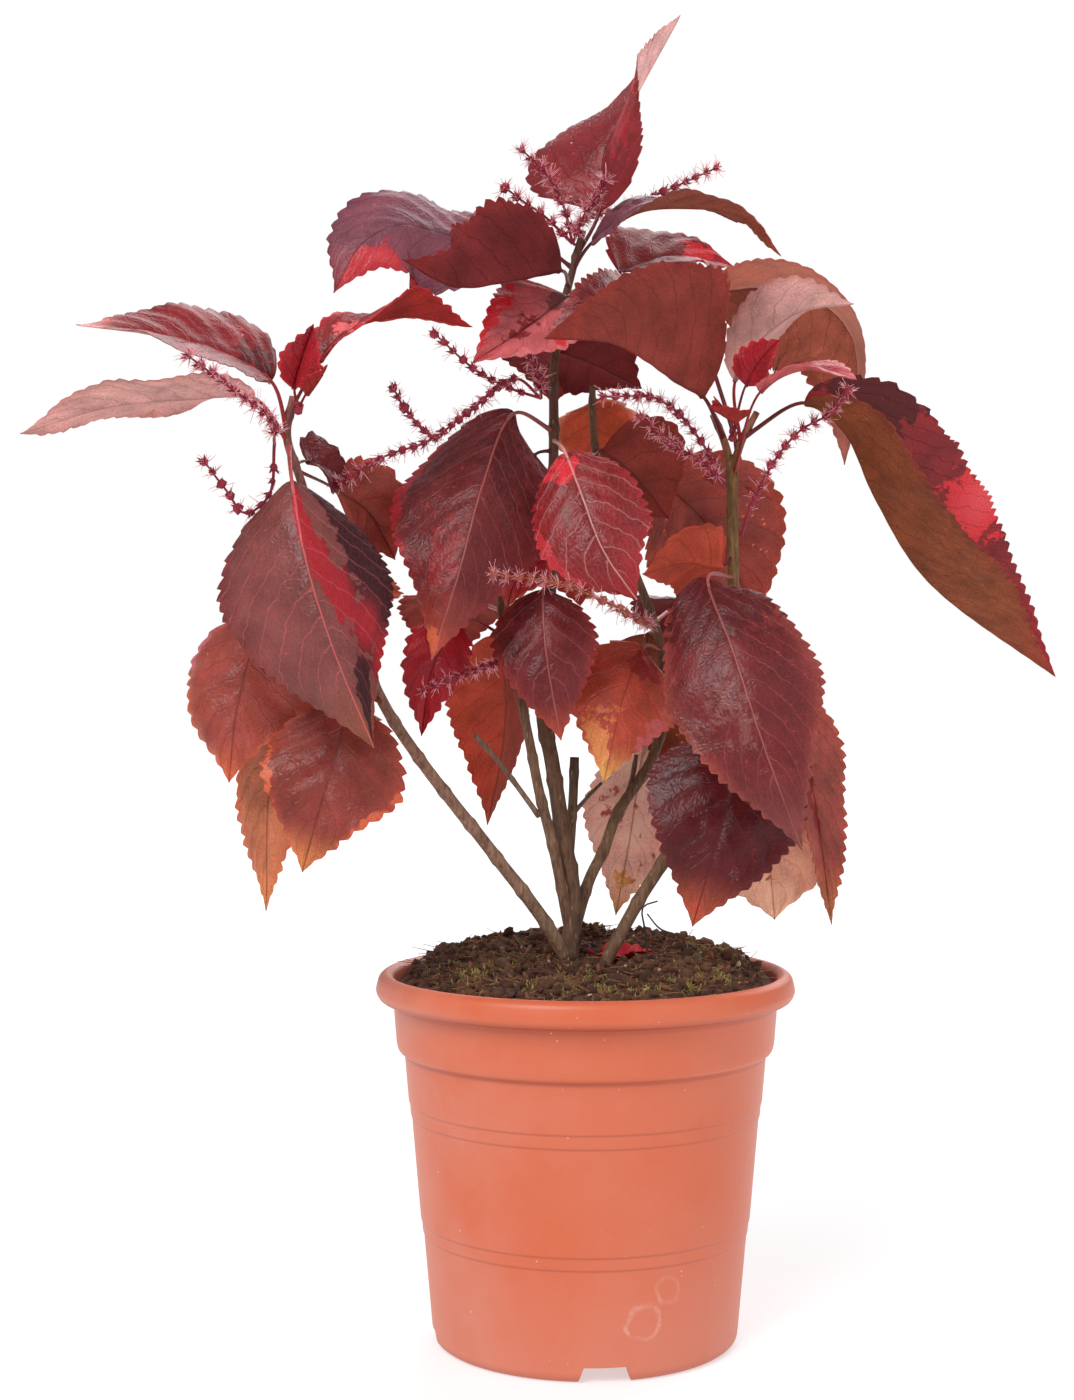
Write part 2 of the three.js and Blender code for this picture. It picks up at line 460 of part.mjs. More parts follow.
// Both faces of the blade are the same grid, half the thickness to either side of the surface, with a
// pair of side faces for each tooth. The petiole is a four-sided tube that runs into the first row. Each of
// its edges runs back to the gap's width from the stem that carries it, so its end follows the stem.
function leafSolid([points, width, widest, baseUp, tipUp, fold, curl, wave], thickness = BLADE_THICKNESS) {
  const ribPoints = points.map(vector);
  const upward = [baseUp, tipUp];
  const surface = bladeSurface({ points: ribPoints, width, widest, upward, fold, curl, wave });
  const rows = Math.round(THREE.MathUtils.clamp(width / 10, 4, 8));
  const columns = [-1, -0.5, 0, 0.5, 1];
  const petioleSteps = 2;
  const positions = [];
  const triangles = [];
  const push = (point) => positions.push(point.toArray()) - 1;

  const bothFaces = (u, v) => {
    const nudge = 0.01;
    const alongU = surface.pointAt(Math.min(1, u + nudge), v).sub(surface.pointAt(u - nudge, v));
    const alongV = surface.pointAt(u, v + nudge).sub(surface.pointAt(u, v - nudge));
    const normal = alongU.cross(alongV).normalize().multiplyScalar(-thickness / 2);
    const middle = surface.pointAt(u, v);
    return [push(middle.clone().add(normal)), push(middle.clone().sub(normal))];
  };

  const cornerAt = (share, k) => {
    const { centre, up, side } = surface.frameAt(share, 0);
    const direction = k % 2 === 0 ? side : up;
    const sign = k === 0 || k === 3 ? -1 : 1;
    return centre.addScaledVector(direction, sign * PETIOLE_RADIUS);
  };
  const starts = [0, 1, 2, 3].map((k) => {
    let start = surface.baseShare;
    while (start > EDGE_SHIFT && beyondStems(cornerAt(start - EDGE_SHIFT, k)) >= GAP) start -= EDGE_SHIFT;
    return start;
  });
  const rings = [];
  for (let j = 0; j <= petioleSteps; j += 1) {
    rings.push(starts.map((start, k) =>
      push(cornerAt(start + ((surface.baseShare - start) * j) / petioleSteps, k))));
  }
  triangles.push([rings[0][0], rings[0][1], rings[0][2]], [rings[0][0], rings[0][2], rings[0][3]]);
  for (let j = 0; j < petioleSteps; j += 1) {
    for (let k = 0; k < 4; k += 1) {
      const next = (k + 1) % 4;
      triangles.push([rings[j][k], rings[j + 1][k], rings[j][next]]);
      triangles.push([rings[j][next], rings[j + 1][k], rings[j + 1][next]]);
    }
  }

  const firstRow = 0.02;
  const lastRow = 0.93;
  const shareOfRow = (j) => firstRow + ((lastRow - firstRow) * j) / rows;
  const grid = [];
  for (let j = 0; j <= rows; j += 1) {
    grid.push(columns.map((v) => bothFaces(shareOfRow(j), v)));
  }

  const [left, top, right, bottom] = rings[petioleSteps];
  const [c0, c1, c2, c3, c4] = grid[0];
  triangles.push([left, c0[0], c1[0]], [left, c1[0], top], [top, c1[0], c2[0]]);
  triangles.push([top, c2[0], c3[0]], [top, c3[0], right], [right, c3[0], c4[0]]);
  triangles.push([right, c4[1], c3[1]], [right, c3[1], bottom], [bottom, c3[1], c2[1]]);
  triangles.push([bottom, c2[1], c1[1]], [bottom, c1[1], left], [left, c1[1], c0[1]]);
  triangles.push([left, c0[1], c0[0]], [right, c4[0], c4[1]]);

  for (let j = 0; j < rows; j += 1) {
    for (let k = 0; k < columns.length - 1; k += 1) {
      const [a, b, c, d] = [grid[j][k], grid[j + 1][k], grid[j + 1][k + 1], grid[j][k + 1]];
      triangles.push([a[0], b[0], c[0]], [a[0], c[0], d[0]]);
      triangles.push([a[1], c[1], b[1]], [a[1], d[1], c[1]]);
    }
    const toothShare = shareOfRow(j + TOOTH_LEAN);
    for (const [sign, column] of [[-1, 0], [1, columns.length - 1]]) {
      const tooth = bothFaces(toothShare, sign * (1 + TOOTH_REACH));
      const near = grid[j][column];
      const far = grid[j + 1][column];
      const faces = [
        [near[0], tooth[0], far[0]], [near[1], far[1], tooth[1]],
        [near[0], near[1], tooth[0]], [near[1], tooth[1], tooth[0]],
        [tooth[0], tooth[1], far[0]], [tooth[1], far[1], far[0]],
      ];
      triangles.push(...(sign < 0 ? faces : faces.map(([a, b, c]) => [a, c, b])));
    }
  }

  const tip = push(ribPoints[ribPoints.length - 1]);
  for (let k = 0; k < columns.length - 1; k += 1) {
    triangles.push([grid[rows][k][0], tip, grid[rows][k + 1][0]]);
    triangles.push([grid[rows][k][1], grid[rows][k + 1][1], tip]);
  }
  triangles.push([grid[rows][0][0], grid[rows][0][1], tip]);
  triangles.push([grid[rows][4][0], tip, grid[rows][4][1]]);
  return closedMesh(positions, triangles);
}

// Catkins: spikes whose whorls of small bracts swell and narrow along a thin axis. All the catkins of
// one axil grow from one bud. Columns: name, bud, and for each catkin its points, first and last bract
// radius in mm.

const TOP_BUD = budPlace([-6.5, 6, 519]);
const CENTRE_BUD = budPlace([-19, 0, 448]);
const LEFT_AXIL = budPlace([-140, -84, 419]);
const RIGHT_AXIL = budPlace([66, -2, 405]);
const SPIKE_AXIL = budPlace([74, -2, 383]);
const MIDDLE_AXIL = budPlace([33, 10, 341]);
const LOW_AXIL = budPlace([-35, -18, 324]);

const CATKINS = [
  ['top_catkins', TOP_BUD, [
    [[[-11, 2, 541], [-19, -2, 554], [-30, -6, 564]], 3.2, 1.8],
    [[[-20, 2, 535], [-29, -4, 540], [-38, -8, 546]], 3.4, 3],
    [[[-9, 14, 528], [4, 30, 540], [18, 44, 546], [38, 50, 555], [66, 52, 568]], 2.6, 2.2],
    [[[0, -6, 535], [5, -12, 541], [9, -17, 548]], 4, 5],
  ]],
  ['centre_catkins', CENTRE_BUD, [
    [[[-33, -12, 456], [-54, -30, 439], [-72, -44, 424], [-92, -52, 416], [-112, -58, 404]], 2.6, 2.6],
    [[[-36, -8, 452], [-52, -22, 459], [-70, -32, 474]], 2.4, 2],
    [[[-22, -8, 458], [-27, -12, 466], [-30, -14, 474]], 4, 3.4],
  ]],
  ['left_catkins', LEFT_AXIL, [
    [[[-137, -107, 427], [-151, -127, 438], [-167, -138, 450]], 3.4, 4.2],
    [[[-140, -88, 396], [-150, -92, 388], [-158, -94, 398], [-167, -96, 410]], 2, 3],
  ]],
  ['right_catkins', RIGHT_AXIL, [
    [[[54, -10, 427], [34, -22, 445], [8, -34, 445]], 3.4, 3.6],
    [[[56, -14, 416], [40, -24, 424], [25, -30, 436]], 3.2, 3],
  ]],
  ['right_spike_catkin', SPIKE_AXIL, [
    [[[78, -8, 396], [89, -14, 418], [100, -18, 431], [114, -22, 438]], 2, 3],
  ]],
  ['middle_catkin', MIDDLE_AXIL, [
    [[[30, -16, 341], [24, -44, 342], [8, -66, 350], [-14, -74, 358], [-42, -77, 362]], 3, 2.2],
  ]],
  ['low_catkin', LOW_AXIL, [
    [[[-46, -34, 321], [-60, -50, 316], [-74, -56, 311]], 2.6, 2.6],
  ]],
];

const CATKIN_SIDES = 4;

// Rings come in pairs: a narrow one on the axis, then a whorl where every second corner stands out.
function catkinSolid(points, firstRadius, lastRadius) {
  const length = new THREE.CatmullRomCurve3(points).getLength();
  const whorls = Math.max(3, Math.round(length / WHORL_SPACING));
  const radiusAt = (share, corner, ring) => {
    if (ring % 2 === 0 || ring < 2) return CATKIN_AXIS_RADIUS;
    const bract = firstRadius + (lastRadius - firstRadius) * share;
    const lift = (corner + (ring - 1) / 2) % 2 === 0 ? 1 : LOW_BRACT_SHARE;
    return bract * lift;
  };
  return tube(points, 2 * whorls, CATKIN_SIDES, radiusAt);
}

function budSolid(centre) {
  const geometry = new THREE.IcosahedronGeometry(BUD_RADIUS, 0);
  geometry.translate(...centre);
  return toSolid(geometry);
}

// Soil fills the pot to just under the rim, higher in the middle and at the back, and lumpy. The stems
// stand in holes through it and the fallen leaf lies in a dent of its own shape.

const fallenLeafDent = leafSolid(FALLEN_LEAF, BLADE_THICKNESS + 2 * GAP);
const SOIL_RING_SHARES = [0.93, 0.82, 0.68, 0.52, 0.34, 0.17];

function soilHeight(x, y) {
  const out = Math.hypot(x, y) / (BAND_TOP_RADIUS - WALL);
  const lumps = Math.sin(0.11 * x + 1.3) * Math.sin(0.13 * y + 0.4) + 0.6 * Math.sin(0.23 * x - 0.19 * y);
  const middle = SOIL_MIDDLE + SOIL_BACK_RISE * y + SOIL_LUMP * lumps;
  return middle - (SOIL_EDGE_DROP + SOIL_LUMP * lumps + SOIL_BACK_RISE * y) * out ** 8;
}

function soilSolid() {
  const side = potInside.map(([radius, height]) => [radius - GAP, height]).reverse();
  side[0][1] = FLOOR_TOP + GAP;
  const edge = [BAND_TOP_RADIUS - WALL - GAP, SOIL_MIDDLE - SOIL_EDGE_DROP];
  const rings = SOIL_RING_SHARES.map((share) => [share * edge[0], edge[1] + 1]);
  const geometry = turned([[0, side[0][1]], ...side, edge, ...rings, [0, edge[1] + 1]]);
  const position = geometry.attributes.position;
  for (let i = 0; i < position.count; i += 1) {
    if (position.getZ(i) > edge[1] + 0.5) {
      position.setZ(i, soilHeight(position.getX(i), position.getY(i)));
    }
  }
  return toSolid(geometry).subtract(stemClearance).subtract(fallenLeafDent);
}

// Assembly

const group = new THREE.Group();

function addPiece(name, solid, colour) {
  const mesh = new THREE.Mesh(toGeometry(solid), MATERIALS[colour]);
  mesh.name = name;
  group.add(mesh);
}

addPiece('pot', potSolid(), 'pot');
addPiece('soil', soilSolid(), 'soil');
addPiece('trunk_and_limbs', stemSolid(TRUNK_LIMBS, 0), 'bark');
addPiece('right_stem', stemSolid(RIGHT_LIMBS, 0), 'bark');
addPiece('fallen_leaf', leafSolid(FALLEN_LEAF), 'crimson');

for (const [name, colour, points, ...shape] of LEAVES) {
  const root = nearestStem(vector(points[0])).centre.toArray();
  addPiece(name, leafSolid([[root, ...points.slice(1)], ...shape]), colour);
}

for (const [name, colour, bud, shapes] of YOUNG_LEAVES) {
  const leaves = shapes.map(([points, ...shape]) => leafSolid([[bud, ...points], ...shape]));
  addPiece(name, joined([budSolid(bud), ...leaves]), colour);
}

for (const [name, bud, catkins] of CATKINS) {
  const spikes = catkins.map(([points, first, last]) =>
    catkinSolid([vector(bud), ...points.map(vector)], first, last));
  addPiece(name, joined([budSolid(bud), ...spikes]), 'catkin');
}

export default group;
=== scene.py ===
import math

import bpy
import numpy as np
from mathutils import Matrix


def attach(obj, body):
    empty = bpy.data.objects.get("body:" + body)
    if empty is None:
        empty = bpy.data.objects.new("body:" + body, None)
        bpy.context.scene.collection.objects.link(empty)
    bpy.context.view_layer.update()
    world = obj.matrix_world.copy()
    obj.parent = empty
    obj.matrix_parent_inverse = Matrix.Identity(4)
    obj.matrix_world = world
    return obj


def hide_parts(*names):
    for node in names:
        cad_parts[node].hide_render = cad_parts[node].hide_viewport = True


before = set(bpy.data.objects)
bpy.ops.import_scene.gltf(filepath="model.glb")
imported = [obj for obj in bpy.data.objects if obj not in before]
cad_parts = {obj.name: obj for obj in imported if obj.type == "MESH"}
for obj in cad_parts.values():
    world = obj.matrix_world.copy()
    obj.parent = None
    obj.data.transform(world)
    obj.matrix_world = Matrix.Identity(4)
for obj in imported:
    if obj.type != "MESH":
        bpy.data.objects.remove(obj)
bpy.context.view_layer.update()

# Studio: a wide pale floor, a white surround and three wide soft lights, none of them part of the
# plant. The camera stands a metre in front of the pot, level with the middle of the plant.

scene = bpy.context.scene
scene.view_settings.view_transform = "Standard"


def linear(code):
    """A colour in sRGB hex as linear red, green, blue and one: the sRGB curve undone, channel by channel."""
    share = np.array([int(code[i : i + 2], 16) for i in (1, 3, 5)]) / 255
    return (*np.where(share <= 0.04045, share / 12.92, ((share + 0.055) / 1.055) ** 2.4), 1.0)


def add(tree, kind, inputs=(), **settings):
    """Adds a shader node with its settings. Each input, by name or number, is a constant, an output to link
    to, or a node that stands for the first of its outputs in use. A MapRange takes its value at 0, the range
    it comes from at 1 and 2 and the range it goes to at 3 and 4, and a colour Mix its share at 0 and its two
    colours at 6 and 7."""
    node = tree.nodes.new("ShaderNode" + kind)
    for name, value in settings.items():
        setattr(node, name, value)
    for name, value in dict(inputs).items():
        if isinstance(value, bpy.types.Node):
            value = next(output for output in value.outputs if output.enabled)
        if isinstance(value, bpy.types.NodeSocket):
            tree.links.new(value, node.inputs[name])
        else:
            node.inputs[name].default_value = value
    return node


def new_material(name):
    """A material with an empty node tree."""
    made = bpy.data.materials.new(name)
    made.use_nodes = True
    made.node_tree.nodes.clear()
    return made, made.node_tree


def grid(rows, columns, wrap=False):
    """Corner numbers of the quads between the rows and columns of a grid, the last column meeting the first
    where it wraps. They face the way that turns columns towards rows."""
    row, column = np.meshgrid(np.arange(rows - 1), np.arange(columns - (not wrap)), indexing="ij")
    beside = (column + 1) % columns
    corners = [row * columns + column, row * columns + beside]
    corners += [(row + 1) * columns + beside, (row + 1) * columns + column]
    return np.stack(corners, -1).reshape(-1, 4)


def piece(name, vertices, faces, materials, slot=None, replaced=(), which=None, colours=(), uv=None):
    """Makes a smooth mesh object from points in millimetres and arrays of faces with three or four corners.
    which numbers each face's material, colours are attributes of the points, and uv is in millimetres."""
    mesh = bpy.data.meshes.new(name)
    corners = np.concatenate([np.ravel(each) for each in faces]).astype(np.int32)
    sizes = np.concatenate([np.full(len(each), each.shape[1]) for each in faces])
    mesh.vertices.add(len(vertices))
    mesh.vertices.foreach_set("co", (np.asarray(vertices) / 1000).astype(np.float32).ravel())
    mesh.loops.add(len(corners))
    mesh.loops.foreach_set("vertex_index", corners)
    mesh.polygons.add(len(sizes))
    mesh.polygons.foreach_set("loop_start", (np.cumsum(sizes) - sizes).astype(np.int32))
    for each in materials:
        mesh.materials.append(each)
    if which is not None:
        mesh.polygons.foreach_set("material_index", np.asarray(which, np.int32))
    for attribute, values in dict(colours).items():
        kind, field = ("FLOAT_COLOR", "color") if values.shape[1] == 4 else ("FLOAT_VECTOR", "vector")
        made = mesh.attributes.new(attribute, kind, "POINT")
        made.data.foreach_set(field, values.astype(np.float32).ravel())
    if uv is not None:
        layer = mesh.uv_layers.new(name="blade")
        layer.uv.foreach_set("vector", uv[corners].astype(np.float32).ravel())
    mesh.update(calc_edges=True)
    mesh.shade_smooth()
    made = bpy.data.objects.new(name, mesh)
    scene.collection.objects.link(made)
    if replaced:
        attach(made, "root")
        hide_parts(*replaced)
    return made


# Backlit white acrylic, as on a table for product pictures, so that shadows on it stay faint
acrylic, tree = new_material("backlit_white_acrylic")
grain = add(tree, "TexNoise", {"Scale": 9.0, "Detail": 3.0})
tone = add(tree, "Mix", {0: grain, 6: linear("#bcbcbc"), 7: linear("#c0c0c0")}, data_type="RGBA")
shader = add(tree, "BsdfPrincipled", {"Base Color": tone, "Roughness": 0.9, "Specular IOR Level": 0.2})
lit = add(tree, "Emission", {"Color": (1.0, 1.0, 1.0, 1.0), "Strength": 0.52})
both = add(tree, "AddShader", {0: shader, 1: lit})
add(tree, "OutputMaterial", {"Surface": both})

FLOOR_REACH = 9000
corners = FLOOR_REACH * np.array([(-1, -1, 0), (1, -1, 0), (1, 1, 0), (-1, 1, 0)])
floor = piece("floor", corners, [np.array([[0, 1, 2, 3]])], [acrylic])

# The surround is white to the camera and dimmer as a light, so that the leaves keep their depth.
world = bpy.data.worlds.new("surround")
world.use_nodes = True
tree = world.node_tree
tree.nodes.clear()
seen = add(tree, "Background", {"Color": (1.0, 1.0, 1.0, 1.0), "Strength": 1.0})
glow = add(tree, "Background", {"Color": linear("#fbfbff"), "Strength": 0.48})
straight = add(tree, "LightPath").outputs["Is Camera Ray"]
sky = add(tree, "MixShader", {0: straight, 1: glow, 2: seen})
add(tree, "OutputWorld", {"Surface": sky})
scene.world = world

# Each light: where it shines from, how strong it is, and how wide it stands in the sky, in degrees
for name, place, power, spread in [
    ("key_light", (-0.75, -1.25, 1.55), 1.95, 30),
    ("fill_light", (1.4, -1.0, 0.7), 0.5, 60),
    ("back_light", (0.5, 1.3, 1.2), 1.5, 50),
]:
    made = bpy.data.lights.new(name, "SUN")
    made.energy = power
    made.angle = math.radians(spread)
    lamp = bpy.data.objects.new(name, made)
    lamp.location = place
    x, y, z = place
    lamp.rotation_euler = (math.atan2(math.hypot(x, y), z), 0, math.atan2(y, x) + math.pi / 2)
    scene.collection.objects.link(lamp)

# The camera looks 1.3 degrees down, through a lens that takes in the whole plant.
camera = bpy.data.objects.new("camera", bpy.data.cameras.new("camera"))
camera.data.lens = 57.86
camera.location = (-0.023, -1.072, 0.329)
camera.rotation_euler = (math.radians(90 - 1.3), 0, 0)
scene.collection.objects.link(camera)
scene.camera = camera

# Pot: one injection-moulded nursery pot of terracotta-coloured polypropylene. It has a rolled rim, a band
# below it, two pairs of fine steps round the body and a foot ring with four notches and four drain holes.

POT_HEIGHT = 176
RIM = 100
WALL = 2.2
BAND_TOP, BAND_TOP_RADIUS = 162, 91.5
BAND_BOTTOM, BAND_BOTTOM_RADIUS = 137.6, 86.2
BAND_RADIUS = 90
LOW_RADIUS, LOW_HEIGHT = 73.2, 8
FLOOR_BOTTOM, FLOOR_TOP = 8, 10.5
STEPS = [51.6, 57.5, 107.1, 113.5]
STEP_REACH = 0.4
MOULD_ROUNDING = 1.6
POT_SIDES = 160


def rounded(profile, radius, steps=4):
    """Rounds each inner corner of a profile with a curve that starts and ends within the radius: the middle
    of a quadratic curve whose control point is the corner."""
    profile = np.array(profile, float)
    before, corner, after = profile[:-2], profile[1:-1], profile[2:]
    back, ahead = before - corner, after - corner
    lengths = [np.linalg.norm(each, axis=1, keepdims=True) for each in (back, ahead)]
    start = corner + back * np.minimum(radius / lengths[0], 0.45)
    end = corner + ahead * np.minimum(radius / lengths[1], 0.45)
    t = np.linspace(0, 1, steps)[None, :, None]
    bends = (1 - t) ** 2 * start[:, None] + 2 * t * (1 - t) * corner[:, None] + t**2 * end[:, None]
    return np.vstack([profile[:1], bends.reshape(-1, 2), profile[-1:]])


def turned(profile, sides, poles):
    """Carries a profile of radius and height round the axis, ring by ring: each point is the radius times
    the cosine and sine of its angle. A pole is the height at which each end is closed by a fan."""
    profile = np.array(profile, float)
    angle = np.arange(sides) * 2 * np.pi / sides
    radius, height = profile[:, :1], profile[:, 1:]
    rings = np.stack([radius * np.cos(angle), radius * np.sin(angle), height + 0 * angle], -1).reshape(-1, 3)
    faces = [grid(len(profile), sides, wrap=True)]
    corner = np.arange(sides)
    beside = (corner + 1) % sides
    for level, first in zip(poles, (0, (len(profile) - 1) * sides)):
        pole = np.full(sides, len(rings))
        fan = [pole, corner + first, beside + first] if first else [pole, beside, corner]
        rings = np.vstack([rings, [[0, 0, level]]])
        faces.append(np.stack(fan, -1))
    return rings, faces


def body_radius(height, below):
    """Outer radius of the tapered body: straight from the foot towards the band, plus the reach of each step
    below this height."""
    share = (height - LOW_HEIGHT) / (BAND_BOTTOM - LOW_HEIGHT)
    taper = BAND_BOTTOM_RADIUS - LOW_RADIUS - len(STEPS) * STEP_REACH
    return LOW_RADIUS + share * taper + STEP_REACH * below


steps = []
for below, height in enumerate(STEPS):
    steps += [(body_radius(height, below), height), (body_radius(height, below + 1) + 0.15, height + 0.8)]
outside = [(62, FLOOR_BOTTOM), (63, 0), (70, 0), (72.6, 2.4), (LOW_RADIUS, LOW_HEIGHT), *steps]
outside += [(BAND_BOTTOM_RADIUS, BAND_BOTTOM), (BAND_RADIUS - 0.8, BAND_BOTTOM + 1.4)]
outside += [(BAND_RADIUS, BAND_BOTTOM + 5), (BAND_TOP_RADIUS, BAND_TOP), (RIM - 2, BAND_TOP + 1.2)]
outside += [(RIM, BAND_TOP + 5), (RIM - 1.6, POT_HEIGHT - 2.4), (RIM - 5, POT_HEIGHT)]
outside += [(RIM - 8.6, POT_HEIGHT - 2)]
inside = [(BAND_TOP_RADIUS - WALL, BAND_TOP), (BAND_RADIUS - WALL, BAND_BOTTOM + 5)]
inside += [(BAND_BOTTOM_RADIUS - WALL, BAND_BOTTOM - 1), (LOW_RADIUS - WALL, FLOOR_TOP)]
profile = rounded([(1, FLOOR_BOTTOM), *outside, *inside, (1, FLOOR_TOP)], MOULD_ROUNDING)
points, faces = turned(profile, POT_SIDES, (FLOOR_BOTTOM, FLOOR_TOP))

# Terracotta-coloured polypropylene, moulded: a satin skin with a pale chalky film, scuffs and dust
plastic, tree = new_material("terracotta_polypropylene")
place = add(tree, "TexCoord").outputs["Object"]
film = add(tree, "TexNoise", {"Vector": place, "Scale": 16.0, "Detail": 6.0, "Roughness": 0.62})
film = add(tree, "MapRange", {0: film, 1: 0.38, 2: 0.74, 3: 0.0, 4: 0.5})
across = add(tree, "SeparateXYZ", {0: place})
# The film thickens towards the left: partly chalky dust, partly painted light, paler on the side the light
# comes from.
left_dust_and_painted_light = add(tree, "MapRange", {0: across.outputs["X"], 1: -0.02, 2: -0.09, 3: 0.35, 4: 1.15})
film = add(tree, "Math", {0: film, 1: left_dust_and_painted_light}, operation="MULTIPLY")
low = add(tree, "MapRange", {0: across.outputs["Z"], 1: 0.055, 2: 0.0, 3: 0.0, 4: 0.28})
film = add(tree, "Math", {0: film, 1: low}, operation="ADD")
body = add(tree, "Mix", {0: film, 6: linear("#cc603b"), 7: linear("#d39686")}, data_type="RGBA")
stretched = add(tree, "Mapping", {"Vector": place, "Scale": (1, 1, 0.16)})
streak = add(tree, "TexNoise", {"Vector": stretched, "Scale": 70.0, "Detail": 4.0})
streak = add(tree, "MapRange", {0: streak, 1: 0.5, 2: 0.8, 3: 0.0, 4: 0.18})
body = add(tree, "Mix", {0: streak, 6: body, 7: linear("#c9603f")}, data_type="RGBA")
# Painted shade darkens the crease under the rim, the lower edge of the band, the foot and the steps.
painted_shade_creases = [(0.1625, 0.0034, 0.75), (0.1372, 0.0016, 0.6), (0.001, 0.004, 0.3)]
painted_shade_creases += [(height / 1000 + 0.0004, 0.0008, 0.4) for height in STEPS]
for level, spread, strength in painted_shade_creases:
    below = add(tree, "Math", {0: across.outputs["Z"], 1: level}, operation="SUBTRACT")
    below = add(tree, "Math", {0: below}, operation="ABSOLUTE")
    crease_painted_shade = add(tree, "MapRange", {0: below, 1: 0.0, 2: spread, 3: strength, 4: 0.0})
    body = add(tree, "Mix", {0: crease_painted_shade, 6: body, 7: linear("#923a24")}, data_type="RGBA")
# Two chalky rings, 8 and 6 mm in radius, were rubbed into the front near the foot.
for centre, radius, strength in [
    ((0.025, -0.0705, 0.027), 0.008, 0.36),
    ((0.036, -0.068, 0.040), 0.006, 0.22),
]:
    sway = add(tree, "TexNoise", {"Vector": place, "Scale": 110.0, "Detail": 2.0})
    swayed = add(tree, "VectorMath", {0: sway.outputs["Color"], 1: (0.006, 0.006, 0.006), 2: place},
                 operation="MULTIPLY_ADD")
    offset = add(tree, "VectorMath", {0: swayed, 1: np.array(centre) + 0.003}, operation="DISTANCE")
    off_ring = add(tree, "Math", {0: offset, 1: radius}, operation="SUBTRACT")
    off_ring = add(tree, "Math", {0: off_ring}, operation="ABSOLUTE")
    line = add(tree, "MapRange", {0: off_ring, 1: 0.0, 2: 0.0016, 3: strength, 4: 0.0})
    broken = add(tree, "TexNoise", {"Vector": place, "Scale": 260.0, "Detail": 8.0, "Roughness": 0.75})
    broken = add(tree, "MapRange", {0: broken, 1: 0.4, 2: 0.68, 3: 0.1, 4: 1.0})
    chalk = add(tree, "Math", {0: line, 1: broken}, operation="MULTIPLY")
    body = add(tree, "Mix", {0: chalk, 6: body, 7: linear("#f0d2c4")}, data_type="RGBA")
# Pale dust and dark dirt lie as specks, in patches. Each: specks to a metre, reach of a speck's core and of
# its rim as shares of its cell, strength, patches to a metre and their detail, where a patch starts, colour
for specks, core, rim, strength, patches, detail, start, code in [
    (210.0, 0.06, 0.1, 0.5, 60.0, 2.0, 0.58, "#f3dcd0"),
    (330.0, 0.05, 0.11, 0.55, 45.0, 3.0, 0.56, "#6e3a2a"),
]:
    speck = add(tree, "TexVoronoi", {"Vector": place, "Scale": specks})
    speck = add(tree, "MapRange", {0: speck, 1: core, 2: rim, 3: strength, 4: 0.0})
    patch = add(tree, "TexNoise", {"Vector": place, "Scale": patches, "Detail": detail})
    patch = add(tree, "MapRange", {0: patch, 1: start, 2: 0.66})
    speck = add(tree, "Math", {0: speck, 1: patch}, operation="MULTIPLY")
    body = add(tree, "Mix", {0: speck, 6: body, 7: linear(code)}, data_type="RGBA")
satin = add(tree, "MapRange", {0: film, 1: 0.0, 2: 0.5, 3: 0.4, 4: 0.56})
skin = add(tree, "TexNoise", {"Vector": place, "Scale": 900.0, "Detail": 2.0})
relief = add(tree, "Bump", {"Height": skin, "Strength": 0.12, "Distance": 0.0004})
shader = add(tree, "BsdfPrincipled", {"Base Color": body, "Roughness": satin, "Normal": relief, "IOR": 1.49})
add(tree, "OutputMaterial", {"Surface": shader})

pot = piece("nursery_pot", points, faces, [plastic], "pot_plastic", ["pot"])

# The moulding tool leaves the notches and the drain holes, so they are cut out of the turned shape: a
# tapered block through the foot ring for each notch, and half a quarter turn on, a rod for each hole.
NOTCH_INNER, NOTCH_OUTER = 57, 83
DRAIN_DISTANCE, DRAIN_RADIUS = 42, 6
notch = [(-12.5, -1), (12.5, -1), (9.75, 7.4), (-9.75, 7.4)]
block = np.array([(out, *corner) for out in (NOTCH_INNER, NOTCH_OUTER) for corner in notch])
circle = np.linspace(0, 2 * np.pi, 24, endpoint=False)
ring = [DRAIN_DISTANCE + DRAIN_RADIUS * np.cos(circle), DRAIN_RADIUS * np.sin(circle)]
bore = np.vstack([np.stack([*ring, 0 * circle + height], -1) for height in (-1, 30)])
angles = np.radians(-84 + 90 * np.arange(4))
cutters = []
for shape, angle in [(block, a) for a in angles] + [(bore, a + np.pi / 4) for a in angles]:
    cosine, sine = math.cos(angle), math.sin(angle)
    turn = np.array([[cosine, sine, 0], [-sine, cosine, 0], [0, 0, 1]])
    sides = len(shape) // 2
    corner = np.arange(sides)
    beside = (corner + 1) % sides
    walls = np.stack([corner, beside, beside + sides, corner + sides], -1)
    cutter = piece("cutter", shape @ turn, [walls, corner[None, ::-1], corner[None] + sides], [plastic])
    cut = pot.modifiers.new("cut", "BOOLEAN")
    cut.object = cutter
    cut.operation = "DIFFERENCE"
    cut.solver = "EXACT"
    cutters.append(cutter)
moulded = bpy.data.meshes.new_from_object(pot.evaluated_get(bpy.context.evaluated_depsgraph_get()))
pot.modifiers.clear()
pot.data = moulded
pot.data.set_sharp_from_angle(angle=math.radians(38))
for cutter in cutters:
    bpy.data.objects.remove(cutter)

# Soil: dark peat pressed into the pot to just under the rim and heaped a little at the back, with loose
# crumbs, reddish fibres, pale bits, a few dry twigs and tufts of yellow-green moss lying on it.


SOIL_TOP = 181
SOIL_EDGE = 170
SOIL_SLOPE = 0.08
SOIL_WAVES = 2.2
SOIL_GAP = 0.3
SOIL_REACH = 84
DENT = 20
DENT_CLEARANCE = 13


